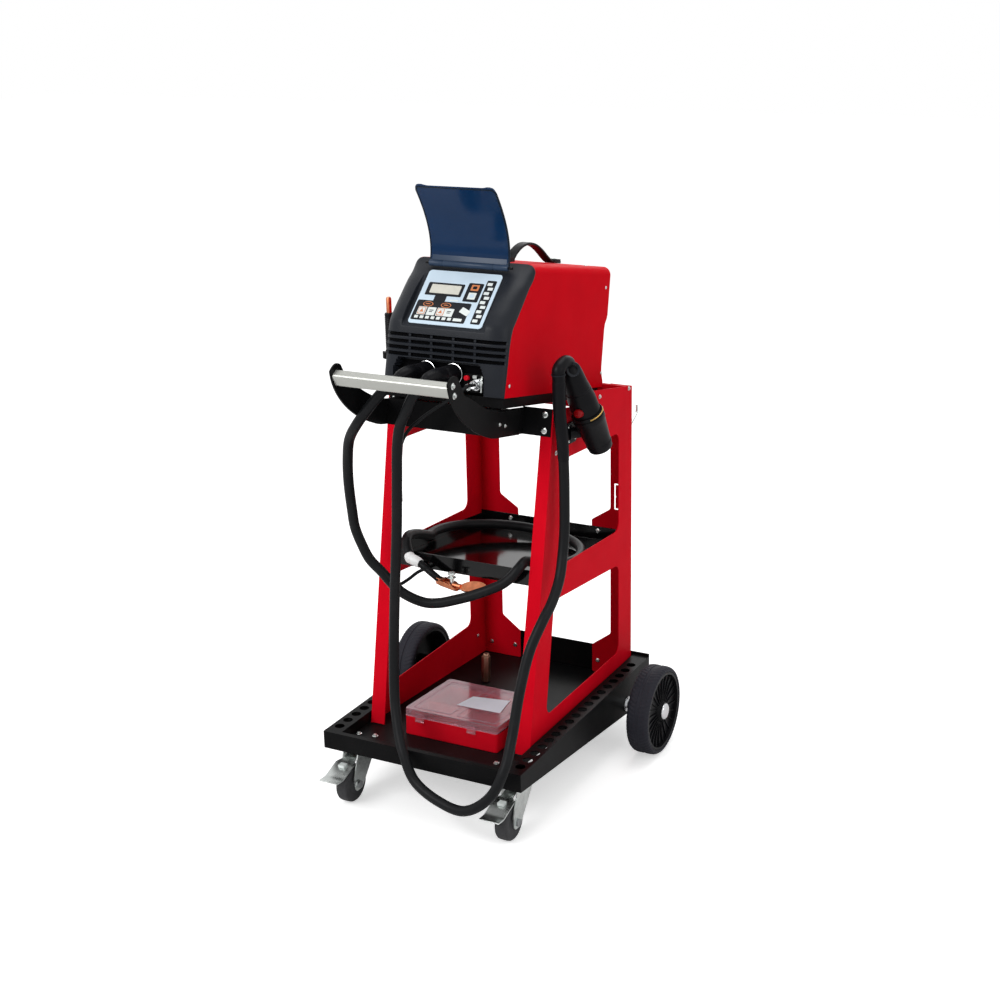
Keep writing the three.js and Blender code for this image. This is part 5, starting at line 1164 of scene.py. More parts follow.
def cover_grid():
    """The cover over the run round its arch and the length: from the seam's curve to the waisted rear edge."""
    side, shoulder = COVER_HALF - ARCH, COVER_TOP - ARCH
    quarter = arc(side, shoulder, ARCH, 0, 90, 13)
    climb = np.stack([np.full(64, COVER_HALF), np.linspace(0, shoulder, 64)], 1)[:-1]
    top = np.stack([np.linspace(side, -side, 14), np.full(14, float(COVER_TOP))], 1)[1:-1]
    run = np.vstack([climb, quarter, top, (quarter * [-1, 1])[::-1], (climb * [-1, 1])[::-1]])
    front, rear = seam_u(run[:, 1]) + 0.3, np.interp(run[:, 1], rear_edge[:, 0], rear_edge[:, 1])
    t = np.linspace(0, 1, 26)[:, None]
    u = front + (rear - front) * t
    x, w = (np.broadcast_to(run[:, axis], u.shape) for axis in (0, 1))
    return np.stack([x, u, w], -1)


cover = piece("cover_sheet", on_head(woven(cover_grid(), around=False, capped=False)), "trolley",
              RED_COVER, "machine_cover", smooth=38)
sheeted(cover, 1.2, 2, 1)
bevelled(cover, 0.4, 2)

# Control label: a pale film with its printed fields, and the display
FILM, PRINT = 1.7, 0.25


def printed(outline, index, level=0):
    """A printed field as a thin flat plate on the film."""
    return coloured(moved(plate(outline, FILM + level * PRINT, FILM + (level + 1) * PRINT), label), index)


def square(x, v, wide, high, index, level=0, corner=1.2):
    """A printed rectangle about its middle."""
    return printed(panel(x - wide / 2, x + wide / 2, v - high / 2, v + high / 2, corner, 3), index, level)


fields = [coloured(moved(plate(panel(-82, 82, 0, LABEL_LENGTH, 7, 8), 0.3, FILM), label), 0)]
for *limits, corner, steps in ((-71, 10, 69, 100, 2.5, 4), (-46, -20, 55, 70, 1, 2), (-79, 41, 8, 56, 3, 4),
                               (17, 50, 60, 105, 2.5, 4), (54, 75, 9, 114, 2.5, 4)):
    fields.append(printed(panel(*limits, corner, steps), 1))
for x in (-53, -13):
    for reach, tall, tint, layer in ((11.2, 6, 2, 2), (9.6, 4.6, 1, 3), (5.5, 1.0, 2, 4)):
        oval = np.stack([x + reach * np.cos(angles(28)), 47 + tall * np.sin(angles(28))], 1)
        fields.append(printed(oval, tint, layer))
for x, index in ((-61, 2), (-40, 3), (-19, 2), (-0.5, 3)):
    fields.append(square(x, 30.5, 18.5, 19, 3, 1))
    if index == 2:
        fields += [square(x, 30.5, 15.5, 16, 2, 2), square(x, 30.5, 13, 13.5, 3, 3),
                   printed(np.array([(x - 4.6, 27), (x + 4.6, 27), (x, 35)]), 2, 4)]
    else:
        fields += [square(x, 33, 9, 1.6, 1, 2, 0.4), square(x - 1, 29.5, 7, 1.6, 1, 2, 0.4)]
for x in np.linspace(-68, 6, 7):
    fields.append(square(x, 15.5, 8, 6.5, 3, 1, 0.8))
fields.append(square(24, 15.5, 19, 6.5, 3, 1, 0.8))
fields += [square(33.5, 94, 17, 14, 2, 1), square(33.5, 74, 17, 16, 3, 1), square(33.5, 94, 9, 7, 1, 2, 2),
           square(33.5, 74, 9, 8, 0, 2, 2)]
for i, v in enumerate(np.linspace(17, 105, 9)):
    fields.append(square(64.5 + (2.2 if i % 2 else -2.2), v, 11, 6.8, 3, 1, 1.0))
fields.append(square(0, 60, 18, 3, 3, 1, 0.5))
tilt = math.radians(-24)
tipped = np.array([[math.cos(tilt), math.sin(tilt)], [-math.sin(tilt), math.cos(tilt)]])
tag = panel(-11, 11, -6.5, 6.5, 1.2, 3) @ tipped
fields.append(printed(tag + [33, 36], 3, 2))
piece("control_label", fields, "trolley", [SILVER_FILM, PRINT_BLACK, PRINT_ORANGE,
    PRINT_PALE], "control_panel")
window = plate(panel(-62, 4, 74, 95, 1.5, 4), FILM + 0.3, FILM + 1.3)
piece("display_glass", [moved(window, label)], "trolley", DISPLAY, "display_window", bevel=0.3)

# Visor, raised
HINGE_U, HINGE_W = 86, 246
BOW_STEPS = np.linspace(0, 1, 40)
visor_line = bezier([(HINGE_U, HINGE_W), (96, 309), (6, 392)], len(BOW_STEPS))


def along_bow(t, *rows):
    """Values known along the bow, read at shares t of its length."""
    return [np.interp(t, BOW_STEPS, row) for row in rows]


def visor_at(x, t):
    """A point of the raised sheet: x across, t along its bow from the hinge to the tip."""
    u, w = along_bow(t, *visor_line.T)
    return np.stack([np.broadcast_to(x, u.shape), u, w], -1)


def visor_sheet():
    """Rows up the bow, each row a closed loop round the sheet: front face out, back face home. The outer
    corners rise to small ears near the tip, and the half width is rounded off at the very end."""
    t = np.concatenate([np.linspace(0.02, 0.88, 30), np.linspace(0.89, 1, 16)])
    end = np.clip((t - 0.955) / 0.045, 0, 1)
    half = 88 - 9 * (1 - np.sqrt(np.clip(1 - end ** 2, 0, 1)))
    across = np.concatenate([np.linspace(-1, 1, 25), np.linspace(1, -1, 25)])
    thick = np.repeat([0, 2.6], 25)
    u, w = along_bow(t, *visor_line.T)
    ears = 2.2 * step(np.abs(across), 0.84, 0.12)[None] * step(t, 0.97, 0.05)[:, None]
    normal = np.stack([np.gradient(w), -np.gradient(u)], 1)
    normal /= np.linalg.norm(normal, axis=1, keepdims=True)
    points = np.stack([half[:, None] * across, u[:, None] + normal[:, :1] * thick - 0.6 * ears,
                       w[:, None] + normal[:, 1:] * thick + ears], -1)
    return woven(points)


def visor_rim():
    """A raised edge up one side, over the tip and down the other, its corners rounded."""
    corner = arc(0, 0, 1, 0, 90, 9)
    up_right = [(86.6, t) for t in np.linspace(0.03, 0.93, 30)]
    turn_right = [(80.6 + 6 * c, 0.94 + 0.045 * s) for c, s in corner]
    over_tip = [(x, 0.987) for x in np.linspace(76, -76, 20)]
    path = np.array(up_right + turn_right + over_tip + [(-x, t) for x, t in turn_right[::-1]] + [(-x, t) for x,
        t in up_right[::-1]])
    points = visor_at(path[:, 0], path[:, 1])
    u, w = np.gradient(visor_line[:, 0]), np.gradient(visor_line[:, 1])
    nu, nw = along_bow(path[:, 1], w, -u)
    normal = np.stack([np.zeros_like(nu), nu, nw], 1)
    normal /= np.linalg.norm(normal, axis=1, keepdims=True)
    return swept(panel(-0.5, 3.4, -2.4, 0.8, 0.6, 3), points, normal)


piece("visor_sheet", on_head(visor_sheet()), "visor", VISOR_TINT, "visor", smooth=50)
knuckle = [(0, 0), (0, 5.4), (0.8, 6.4), (30, 6.4), (31, 5.6), (32, 6.4), (88, 6.4), (144, 6.4),
           (145, 5.6), (146, 6.4),
           (175.2, 6.4), (176, 5.4), (176, 0)]
piece("visor_edge", on_head(visor_rim()), "visor", VISOR_RIM, "visor", smooth=40)
hinge_leaf = swept(panel(-84, 84, -2.4, 3.4, 1, 3), [(0, 86, 246), (0, 88.5, 256), (0, 90, 268)], [1, 0, 0])
hinge_bar = lathe(knuckle, [-88, HINGE_U, HINGE_W], [88, HINGE_U, HINGE_W], 28)
piece("visor_bar", on_head(hinge_bar, hinge_leaf), "visor", HINGE_BLUE, smooth=40)

# Carry strap: an arched band between two screwed pads
strap_line = curve([
    (198, 259.5), (222, 260), (240, 275), (262, 287.5), (288, 294.5), (322, 293), (352, 284), (386, 268), (404, 261),
    (446, 259.6)], 8)
STRAP_X, STRAP_TOP = 18, 265.6
strap_path = np.column_stack([np.full(len(strap_line), float(STRAP_X)), strap_line])
band_section = panel(-10, 10, -2.8, 2.8, 1.8, 4)
strap_parts = on_head(swept(band_section, strap_path, [1, 0, 0]))
for u in (210, 425):
    strap_parts.append(moved(plate(panel(7, 29, u - 16, u + 20, 4, 5), 257, STRAP_TOP), head))
piece("carry_strap_band", strap_parts, "trolley", BLACK_PLASTIC, "carry_strap", bevel=0.5)
strap_screws = on_head(*[part for u in (206, 420, 436) for part in round_screw([STRAP_X, u,
    STRAP_TOP], [0, 0, 1], 3.6)])
piece("strap_screws", strap_screws, "trolley", ZINC)

# Glands, connector plate, socket and knob
GLAND_BACK = 21.7
boot_profile = [(0, 9.6), (0, 13.8), (GLAND_BACK - 13, 13.8), (GLAND_BACK - 12.4, 18.2), (GLAND_BACK - 11.4, 19),
                (GLAND_BACK - 7, 20.6), (GLAND_BACK - 6, 20.6), (GLAND_BACK + 4, 19.6),
                (GLAND_BACK + 18, 17.6), (GLAND_BACK + 34, 16.2), (GLAND_BACK + 35, 15.4), (GLAND_BACK + 35, 10.7)]
for x, side in ((EARTH_X, "left"), (GUN_X, "right")):
    start = [x, GLAND_BACK, GLAND_W]
    piece(f"gland_{side}", on_head(lathe(boot_profile, start, [x, 0, GLAND_W], 40, loop=True)), "trolley",
          BLACK_PLASTIC, f"cable_gland_{side}", smooth=40)
    ring = [(GLAND_BACK - 8.6, 19.6), (GLAND_BACK - 8.2, 21.4), (GLAND_BACK - 7.2, 21.4), (GLAND_BACK - 6.8, 19.6)]
    piece(f"gland_ring_{side}", on_head(lathe(ring, start, [x, 0, GLAND_W], 48, loop=True)),
          "trolley", CHROME,
          smooth=40)
    line = earth_line if side == "left" else gun_line
    run = runs_along(line)
    tail = spaced(line[(run > 30) & (run < 92)], 26)
    piece(f"gland_tail_{side}", [tube(tail, np.interp(np.arange(26), [0, 1, 23, 25], [15.6, 16.4, 12.8, 11.2]), 28)],
          "trolley", BLACK_PLASTIC, smooth=60)
PLATE_FACE = 10 - 2 - 0.3
SMALL_SOCKETS = ((59, 15), (84, 27))


def on_plate(profile, x, w, sides, loop=False):
    """A part turned straight out of the connector plate's face."""
    return moved(lathe(profile, [x, PLATE_FACE, w], [x, 0, w], sides, loop), head)


socket_profile = [(0, 0), (0, 11), (3.4, 11), (4, 10.2), (4, 8.5), (14.6, 8.5), (16, 7.6), (16, 5.6),
                  (11, 5.4), (11, 0)]
piece("round_socket", [on_plate(socket_profile, SOCKET_X, SOCKET_W, 36),
                       on_plate([(5, 8.4), (5, 9.3), (11, 9.3), (11, 8.4)], SOCKET_X, SOCKET_W, 30, True)],
      "trolley", CHROME, "sense_socket", smooth=34)
small_ring = [(0, 4.6), (0, 7), (3, 7), (3.6, 6.4), (3.6, 4.6)]
small_pin = [(0, 0), (0, 4.2), (0.6, 4.2), (0.6, 0)]
# The thin zinc strip standing proud along the connector plate's right edge is a painted highlight for its edge glint
piece("socket_rings", [on_plate(small_ring, x, w, 30, True) for x, w in SMALL_SOCKETS]
      + [on_plate(small_pin, x, w, 20) for x, w in SMALL_SOCKETS]
      + on_head(block((68.5, 77), (PLATE_FACE - 4, PLATE_FACE), (33, 39)),
                block((85.5, 88.6), (PLATE_FACE - 1.2, PLATE_FACE), (6.6, 38))), "trolley", ZINC, smooth=34)
knob_profile = [(-11, 0), (-11, 2.5), (3, 2.5), (3, 4.6), (3.5, 5), (10, 5), (11, 4.2), (11, 0)]
piece("push_knob", [on_plate(knob_profile, 57, 33, 28)], "aux_knob", RED_PLASTIC, "aux_knob")

# Rear wheels --------------------------------------------------------------------------------------
AXLE = np.array([0, 513, 98.0])
INNER, OUTER, WHEEL_MIDDLE = 269, 320, 294.5
TREADS, RIBS, SPOKES_ROUND = 64, 24, 720


def about_axle(x, radius, turn):
    """Points at a radius and an angle about the axle's line."""
    radius, turn = np.broadcast_arrays(radius, turn)
    return np.stack([np.broadcast_to(x, radius.shape), radius * np.cos(turn), radius * np.sin(turn)], -1)


def tyre():
    """The tyre over the angle and its profile: shoulders from a rounded section, pushed in by the tread's
    slanted grooves, which alternate on both sides of a plain middle band."""
    section = np.array([(INNER + 3, 86.6), (INNER + 0.6, 88), (INNER, 90), (INNER + 1.4, 94), (INNER + 5, 96.6),
                        (INNER + 9, 97.6),
                        (INNER + 12, 97.9), (INNER + 16, 98), (INNER + 20.5, 98), (INNER + 21.5, 96.6),
                        (INNER + 29.5, 96.6),
                        (INNER + 30.5, 98), (INNER + 35, 98), (INNER + 39, 97.9), (INNER + 42, 97.6),
                        (OUTER - 5, 96.6),
                        (OUTER - 1.4, 94), (OUTER, 91), (OUTER - 0.4, 88), (OUTER - 3, 86.6)])
    turn = angles(512)
    x, r = section[:, 0][:, None], section[:, 1][:, None]
    phase = (turn * TREADS / TURN + np.abs(x - WHEEL_MIDDLE) / 15) % 1
    groove = (np.abs(phase - 0.5) < 0.18) * step(np.abs(x - WHEEL_MIDDLE), 9, 3) * (r > 92)
    radius = r - 1.1 * groove
    return woven(about_axle(x, radius, turn), loop=True)


def wheel_face():
    """The wheel's outer dish over radius and angle: it falls from the hub to the web and rises to the rim, and
    thin ribs stand on it, 24 to the turn."""
    turn = angles(SPOKES_ROUND)[None]
    r = np.array([10.4, 16, 19.6, 20.6, 24, 30, 40, 52, 64, 76, 80.4, 81.4, 85.6, 86.3])[:, None]
    base_x = np.interp(r, [10.4, 19.6, 20.6, 24, 40, 64, 80.4, 81.4, 86.3],
                       [319.5, 319.5, 317, 311, 309, 309, 310.5, 318.6, 318.6])
    rib = np.abs(((turn * RIBS / TURN) % 1) - 0.5) < 0.04 + 1.0 / r
    x = base_x + rib * step(r, 21, 2) * (1 - step(r, 80.9, 1)) * 3.4
    return about_axle(x, r, turn)


dish = wheel_face()
inside = np.array([(294, 86.3), (271, 86.3), (271, 80.4), (300, 74), (299, 22), (265, 20), (265, 10.4)])
back_rows = about_axle(inside[:, :1], inside[:, 1:], angles(SPOKES_ROUND))
wheel_body = woven(np.concatenate([dish, back_rows]), loop=True)
cap_profile = [(0, 0), (0, 17.4), (0.8, 18.4), (2, 18.4), (4.6, 16.8), (6.6, 13), (7.6, 7), (7.9, 0)]
for side, sign in SIDES:
    tread, body = (shifted(part, AXLE) for part in sided(sign, [tyre(), wheel_body]))
    piece(f"tyre_{side}", [tread], f"rear_wheel_{side}", TYRE, f"rear_tyre_{side}", smooth=42)
    piece(f"wheel_{side}", [body], f"rear_wheel_{side}", BLACK_PLASTIC,
          f"rear_wheel_{side}", smooth=35)
axle_parts = [rod(AXLE - [319.5, 0, 0], AXLE + [319.5, 0, 0], 10, 28, 1)]
for sign in (-1, 1):
    axle_parts.append(lathe(cap_profile, AXLE + [sign * 319.8, 0, 0], AXLE + [sign * 340, 0, 0], 40))
    axle_parts.append(lathe([(0, 0), (0, 17), (2.6, 17), (2.6, 0)], AXLE + [sign * 230.3, 0, 0],
                            AXLE + [sign * 240, 0, 0], 28))
piece("axle_and_caps", axle_parts, "trolley", CHROME, "rear_axle", bevel=0.3)

# Casters ------------------------------------------------------------------------------------------
PLATE_TOP = 120.7
TRAIL, HUB_Z = 32, 40
leg = rounded([(-26, 113.5), (36, 113.5), (36, 90), (-18, 26), (-45, 26), (-47, 54)], [3, 10, 24, 14, 12, 16], 8)


def caster(side, sign):
    """One brake caster: plate and race, fork, wheel on its bolt, and the pedal."""
    centre = np.array([sign * 187, 60, 0.0])
    corners = [(x, y) for x in (-23, 23) for y in (-23, 23)]
    top = plate(panel(-31, 31, -31, 31, 5, 5), PLATE_TOP - 3, PLATE_TOP, [circle(x, y, 4, 14) for x, y in corners])
    race = lathe([(0, 0), (0, 19.5), (1.4, 22.4), (2.6, 24), (4, 24), (4, 0)], [0, 0, PLATE_TOP - 7],
                 [0, 0, PLATE_TOP], 40)
    bolts = [p for x, y in corners for p in hex_bolt([x, y, PLATE_TOP - 3], [0, 0, -1], 4.6, False)]
    piece(f"caster_top_{side}", [shifted(p, centre) for p in (top, race, *bolts)], "trolley", ZINC,
          f"caster_plate_{side}", bevel=0.3)
    legs = [moved(plate(leg, low, low + 2.5), upright) for low in (-19, 16.5)]
    crown = plate(panel(-19, 19, -24, 26, 7, 6), 110.7, 113.4)
    fork_race = lathe([(0, 0), (0, 17.6), (2.2, 19), (2.2, 0)], [0, 0, 110.9], [0, 0, 120], 32)
    washer_parts = [lathe([(0, 5.4), (0, 9.6), (0.9, 9.6), (0.9, 5.4)], [s * 19.02, -TRAIL, HUB_Z],
                          [s * 30, -TRAIL, HUB_Z], 24, loop=True) for s in (-1, 1)]
    piece(f"caster_fork_sheet_{side}", [shifted(p, centre) for p in (*legs, crown, fork_race, *washer_parts)],
          f"caster_{side}", ZINC,
          f"caster_fork_{side}", bevel=0.6, segments=3)
    hub = centre + [0, -TRAIL, HUB_Z]
    half_profile = [(-16, 5.3), (-16, 12), (-15, 13.4), (-12.6, 19), (-12.4, 24), (-12.8, 25), (-13.4, 35),
                    (-12.6, 37.6), (-10.4, 39.4), (-6.6, 40)]
    profile = half_profile + [(-x, r) for x, r in half_profile[::-1]]
    piece(f"caster_tread_{side}", [lathe(profile, hub, hub + [1, 0, 0], 56, loop=True)],
          f"caster_wheel_{side}", CASTER_RUBBER, f"caster_wheel_{side}", smooth=30)
    heads = [lathe([(0, 0), (0, 8.2), (0.6, 9), (4.4, 9), (5, 8.2), (5, 0)], hub + [s * 19.8, 0, 0],
                   hub + [s * 30, 0, 0], 6) for s in (-1, 1)]
    piece(f"caster_axle_{side}", [rod(hub - [24.6, 0, 0], hub + [24.6, 0, 0], 5, 20, 0.8), *heads],
          f"caster_{side}", STEEL,
          f"caster_bolt_{side}", bevel=0.4)
    run = bezier([(4, 4.2), (-30, 1.5), (-60, -11), (-86, -19.5)], 14)
    tip = bezier([(-86, -19.5), (-94, -22), (-102, -19.8), (-113, -19.4)], 8)[1:]
    line = np.vstack([run, tip])
    half = np.interp(line[:, 0], [-120, -108, -44, -36, 10], [21, 22.5, 22.5, 13, 13])
    across = np.array([(-1, -1.2), (1, -1.2), (1, 1.2), (-1, 1.2)])
    upward = np.gradient(line, axis=0)[:, ::-1] * [-1, 1]
    upward /= np.linalg.norm(upward, axis=1, keepdims=True)
    lift = across[None, :, 1:] * upward[:, None]
    pedal = woven(np.dstack([half[:, None] * across[None, :, 0], line[:, None] + lift]))
    pad = block((-7, 7), (-64, -50), (-9.6, -3.4))
    pin = rod([-16, 0, 0], [16, 0, 0], 3, 20, 0.5)
    pivot = centre + [0, -3, 98]
    piece(f"brake_pedal_{side}", [shifted(p, pivot) for p in (pedal, coloured(pad, 1), pin)], f"brake_{side}",
          [ZINC, PRINT_PALE],
          f"caster_brake_{side}", bevel=0.4)


for side, sign in SIDES:
    caster(side, sign)

# Gun and holster ----------------------------------------------------------------------------------
GUN_TOP, GUN_FOOT = np.array([206, 280, 918.0]), np.array([239, 357, 736.0])
gun_way = unit(GUN_TOP - GUN_FOOT)
GUN_LENGTH = apart(GUN_TOP, GUN_FOOT)
CUP = GUN_LENGTH * 0.4


def gun_at(share):
    """A point of the gun's middle line, from its top to its foot."""
    return GUN_TOP + (GUN_FOOT - GUN_TOP) * share


cup_profile = [(-2.9, 0), (-2.9, 20), (-2.2, 23.6), (0, 25), (8, 25.6), (8.8, 26.6), (13, 26.9), (13.8, 26.0),
               (CUP - 12, 31.8), (CUP - 10, 33),
               (CUP - 1, 33.2), (CUP, 32.4), (CUP, 31), (CUP - 1, 30.4), (0, 22.4), (0, 0)]
stem_to = gun_at(0.8)
plate_at = np.array([189.3, 322, 770.0])
cup_plate = moved(plate(panel(plate_at[1] - 22, plate_at[1] + 22, plate_at[2] - 22, plate_at[2] + 22, 6, 6),
                        189.3, 192.3), upright)
neck_length = apart(stem_to, plate_at) - 26
neck = lathe([(0, 0), (0, 15), (3, 13), (neck_length, 11.5), (neck_length, 0)], plate_at + [1, 0, 0], stem_to, 28)
piece("holster_cup", [lathe(cup_profile, GUN_FOOT, GUN_TOP, 48), cup_plate, neck], "trolley",
      BLACK_PLASTIC, "holster", smooth=36)
holster_bolts = [p for dy in (-15, 15) for dz in (-15, 15) for p in round_screw(plate_at + [3, dy, dz], [1, 0, 0], 3)]
piece("holster_screws", holster_bolts, "trolley", ZINC)

gun_profile = [
    (0.3, 0), (0.3, 7.5), (6, 12), (15, 15), (CUP * 0.5, 15.4), (CUP * 0.8, 23.6), (CUP - 2, 27.4),
    (CUP + 8.6, 28.8), (CUP + 10, 28.6),
    *[(GUN_LENGTH * share, radius) for share, radius in (
        (0.56, 28.8), (0.61, 28.6), (0.66, 27), (0.7, 26.4), (0.705, 25.2), (0.72, 25.2), (0.725, 25.8), (0.78, 24),
        (0.9, 22.4), (0.95, 21), (0.99, 17), (1.02, 12), (1.04, 6), (1.05, 0))]]
cord_end = np.array(gun_route[-1], float)
crown_at = gun_at(0.02)
elbow = curve([gun_at(0.12), crown_at, crown_at + [0, -4, 10],
               [crown_at[0], (crown_at[1] + cord_end[1]) / 2, crown_at[2] + 15],
               [cord_end[0], cord_end[1], crown_at[2] + 5], cord_end + [0, 0, 0.3]], 9)
bend_radius = np.interp(np.linspace(0, 1, len(elbow)), [0, 0.3, 0.8, 1], [14, 13.6, 13.2, 12.8])
seat = gun_at(0.53)
piece("gun_housing", [lathe(gun_profile, GUN_FOOT, GUN_TOP, 48), tube(elbow, bend_radius, 28)], "trolley",
      BLACK_PLASTIC, "gun_body", smooth=40)
end_disc = gun_at(0.03)
disc_way = unit(np.array([0.62, -0.55, 0.1]))
boot_line = gun_line[::-1]
boot_path = spaced(boot_line[runs_along(boot_line) < 165], 40)
boot_radius = np.interp(np.arange(40), [0, 1, 16, 36, 39], [12.6, 13.4, 12.8, 11.8, 10.9])
ring_at = spaced(elbow, 60)
piece("gun_boot", [tube(boot_path, boot_radius, 28)], "trolley", BLACK_PLASTIC, smooth=50)
piece("gun_rims", [tube(ring_at[k:k + 2], 14.6, 32) for k in (14, 50)]
      + [lathe([(17, 9.5), (17, 14.4), (18.6, 15), (20, 14.4), (20, 12), (18, 9.5)], end_disc,
               end_disc + disc_way, 32, loop=True)],
      "trolley", CHARCOAL, smooth=40)
trigger_profile = [(0, 0), (0, 8.2), (0.8, 9), (16, 9), (19.4, 8), (21, 5), (21.6, 0)]
piece("trigger_button", [lathe(trigger_profile, [seat[0], seat[1] - 18.5, seat[2]],
                               [seat[0], seat[1] - 60, seat[2]], 32)], "trigger",
      DARK_RED, "gun_trigger", smooth=40)
collar_ring = [(CUP + 0.6, 29.5), (CUP + 0.6, 31.6), (CUP + 1.6, 32.4), (CUP + 7.4, 32.4), (CUP + 8.4, 31.6),
               (CUP + 8.4, 29.5)]
piece("gun_collar_ring", [lathe(collar_ring, GUN_FOOT, GUN_TOP, 48, loop=True)], "trolley",
      BLACK_PLASTIC, "gun_collar")
collar_at = GUN_FOOT + gun_way * (CUP + 4.5)
collar_across = unit(np.cross(gun_way, [0, -1.0, 0]))
collar_over = np.cross(gun_way, collar_across)
# A brass arc laid only over the camera-facing side of the collar: a painted glint standing for its brass highlights
glint_turn = np.radians(np.linspace(-34, 58, 16))[:, None]
glint = collar_at + 32.1 * (np.cos(glint_turn) * collar_across - np.sin(glint_turn) * collar_over)
piece("gun_collar_painted_glint", [tube(glint, 1.5, 12), *round_screw(glint[3], glint[3] - collar_at, 3.4)],
      "trolley", BRASS)

# Slide hammer and its ring ------------------------------------------------------------------------
HX, HY, HAMMER_FOOT = -205, 286, 494


def upright_lathe(profile, sides=32, loop=False):
    """A part of the slide hammer from (height above the floor, radius) pairs."""
    return lathe([(z - HAMMER_FOOT, r) for z, r in profile], [HX, HY, HAMMER_FOOT], [HX, HY, 1100], sides, loop)


thread_z = np.linspace(528, 578, 101)
thread = [(z, 5.6 - 0.7 * (i % 2)) for i, z in enumerate(thread_z)]
steel_rod = [(494.6, 0), (494.6, 5.6), (498, 7), (523.6, 7), (524, 5.0), (527.5, 5.0), *thread, (580, 5.0),
             (580, 11.2), (581, 12), (588.8, 12),
             (589.6, 11.2), (589.6, 5), (1018, 4.6), (1022, 3), (1022, 0)]
piece("hammer_top_rod", [upright_lathe([(990.4, 4.4), (990.4, 5.6), (1019, 5.6), (1022.4, 4), (1022.4, 0), (1021, 0),
                                        (1021, 3)], 24, True)],
      "slide_hammer", COPPER, smooth=40)
piece("hammer_rod", [upright_lathe(steel_rod)], "slide_hammer", STEEL, "slide_hammer", smooth=30)
ribs = [(z, 10 if i % 2 else 9.3) for i, z in enumerate(np.linspace(914, 982, 35))]
grip_profile = [(909.4, 5.2), (909.4, 9.4), (911, 10), *ribs, (986, 10), (989, 9), (990, 5.2)]
piece("hammer_grip", [upright_lathe(grip_profile, 36, True)], "slide_hammer",
      BLACK_PLASTIC, smooth=36)
piece("hammer_collar", [upright_lathe([(874.2, 5.2), (874.2, 10.4), (875, 11), (887, 11), (887.8, 10.2),
                                       (887.8, 5.2)], 32, True)],
      "slide_hammer", CHROME, smooth=36)
weight_profile = [
    (590.3, 5.4), (590.3, 11), (591.4, 12), (604, 12), (604.8, 11.2), (606.2, 11.2), (607, 12),
    (684, 12), (684.8, 11.2),
    (686.2, 11.2), (687, 12), (698.8, 12), (699.8, 11), (699.8, 5.4)]
piece("weight_sleeve", [upright_lathe(weight_profile, 36, True)], "hammer_weight", BLACK_PLASTIC,
      "hammer_weight", smooth=36)
refined("tool_holder", BLACK_POWDER, 0.6)

# Cable hook
hook_y = REAR + 1.2 + 2.8
hook_line = curve([
    (178, hook_y, 652), (178, hook_y, 691.2), (178, hook_y + 2.8, 694), (178, 676, 716), (178, 682, 721.6),
    (178, 682, 738)], 10)
piece("hook_rod", [tube(spaced(hook_line, 70), 2.8, 16)], "trolley", ZINC, "cable_hook", smooth=50)

# Accessory case -----------------------------------------------------------------------------------
X0, X1, Y0, Y1 = -97, 122, 105, 296
CASE_LOW, CASE_HIGH, HINGE = 0.3, 40.3, 40.6
CATCHES = (-60, 62)


def case_outline(inset, corner):
    """The accessory case's outline, drawn in."""
    return panel(X0 + inset, X1 - inset, Y0 + inset, Y1 - inset, max(corner - inset, 1), 6)


mid_x, mid_y = (X0 + X1) / 2, (Y0 + Y1) / 2
box_parts = [
    plate(case_outline(0.4, 7), CASE_LOW, CASE_LOW + 2), plate(case_outline(0.4, 7), CASE_LOW, CASE_HIGH - 3,
        [case_outline(2.2, 7)]),
    plate(case_outline(0, 7), CASE_HIGH - 4, CASE_HIGH, [case_outline(2.2, 7)]),
    block((mid_x - 0.8, mid_x + 0.8), (Y0 + 1, Y1 - 1), (1, CASE_HIGH - 2)),
    block((X0 + 1, X1 - 1), (mid_y, mid_y + 1.6), (1, CASE_HIGH - 2))]
for x in CATCHES:
    box_parts.append(block((x - 9, x + 9), (Y0 - 0.2, Y0 + 1), (CASE_HIGH - 15, CASE_HIGH - 5)))
piece("case_box", [moved(part, deck) for part in box_parts], "trolley", RED_PLASTIC,
      "accessory_case", bevel=0.4)
LID_TOP = HINGE + 17
lid_parts = [
    plate(case_outline(0, 7), HINGE, LID_TOP - 1.6, [case_outline(1.8, 7)]),
    plate(case_outline(0, 7), LID_TOP - 1.8, LID_TOP - 0.2),
    plate(case_outline(0, 7), HINGE, HINGE + 2.4, [case_outline(3.4, 7)])]
for a, b, c, d in ((X0 + 12, mid_x - 6, Y0 + 12, Y1 - 12), (mid_x + 6, X1 - 12, Y0 + 12, Y1 - 12)):
    well = panel(a + 3, b - 3, c + 3, d - 3, 4, 5)
    lid_parts.append(plate(panel(a, b, c, d, 6, 5), LID_TOP - 0.3, LID_TOP + 0.7, [well]))
for x in CATCHES:
    lid_parts += [block((x - 10, x + 10), (Y0 - 2.6, Y0 - 0.4), (CASE_HIGH - 6, HINGE + 9)),
                  block((x - 10, x + 10), (Y0 - 3.4, Y0 - 0.6), (CASE_HIGH - 8, CASE_HIGH - 5))]
piece("case_clear_lid", [moved(part, deck) for part in lid_parts], "case_lid", CLEAR,
      "case_lid", bevel=0.4)
slip = np.array([(-8, 172), (-1, 230), (79, 246), (92, 176)], float)
fall = math.atan(FLOOR_FALL)
slip_y = slip[:, 1] / math.cos(fall) - (LID_TOP + 1) * math.sin(fall)
slip_plate = plate(np.column_stack([slip[:, 0], slip_y]), LID_TOP + 0.75, LID_TOP + 1.0)
piece("case_paper_slip", [moved(slip_plate, deck)], "case_lid", PAPER)

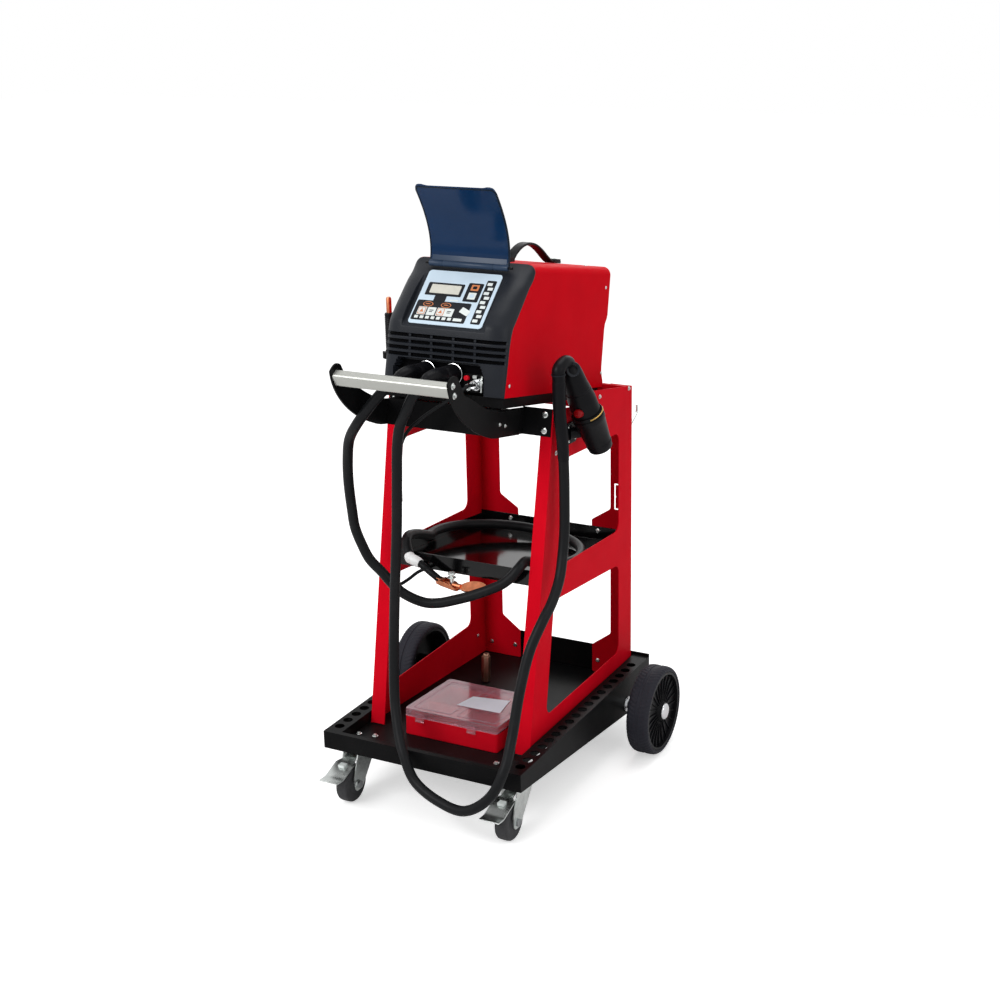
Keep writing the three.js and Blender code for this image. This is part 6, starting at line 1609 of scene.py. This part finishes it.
electrode_parts = [lathe([(0.4, 0), (0.4, 8.6), (2.4, 10.2), (60, 10.2), (62, 9.4), (62, 0)], [-90, 450, 0],
                         [-90, 450, 10], 6),
                   lathe([(61.8, 3), (61.8, 7.4), (66, 7.0), (68, 5.6), (68, 3.0)], [-90, 450, 0],
                         [-90, 450, 10], 24, loop=True)]
piece("electrode_body", [moved(part, deck) for part in electrode_parts], "trolley", BRONZE,
      "hex_electrode", bevel=0.4)

# Screws and bolts ---------------------------------------------------------------------------------
zinc_bolts = []
bolt_places = [
    *[([s * 128.4, *head([0, u, w])[1:]], [s, 0, 0], 4.2) for s in (-1, 1) for u, w in bolt_spots],
    *[([s * 128.4, *head([0, u, w])[1:]], [s, 0, 0], 2.6) for s in (-1, 1) for u, w in ((13.6, -51), (36.7, -55))],
    *[([s * 189.1, y, z], [s, 0, 0], 3.2) for s in (-1, 1) for y, z in ((612, 792), (462, 810), (254, 745))],
    *[([s * 186.9, 591, 157], [-s, 0, 0], 3.4) for s in (-1, 1)],
    *[([s * 110, 624.4, 450.9], [0, -1, 0], 4.0) for s in (-1, 1)],
]
for at, direction, size in bolt_places:
    zinc_bolts += hex_bolt(at, direction, size)
for sign in (-1, 1):
    for w in (-34, -66):
        at = head([sign * 172, 121.6, w])
        zinc_bolts += hex_bolt(at, head([0, -1, 0]) - head([0, 0, 0]), 4.2)
    for x, z in ((107, 134), (169.7, 132)):
        zinc_bolts += hex_bolt([sign * x, 627.9, z], [0, -1, 0], 3.6)
    for x, y in ((180, 56), (143, 61.6)):
        zinc_bolts += hex_bolt([sign * x, y, floor_at(y)], [0, 0, 1], 4.2)
piece("frame_bolts", zinc_bolts, "trolley", ZINC, smooth=30)

cover_screws = []
for sign in (-1, 1):
    for u, w in ((450.7, 212.8), (458.2, 30.7), (30.4, 23.1)):
        cover_screws += on_head(*round_screw([sign * (COVER_HALF + 0.05), u, w], [sign, 0, 0], 3.6))
    cover_screws += on_head(*round_screw([sign * 111.5, 392, COVER_TOP + 0.05], [0, 0, 1], 3.6))
piece("cover_screws", cover_screws, "trolley", ZINC, smooth=30)
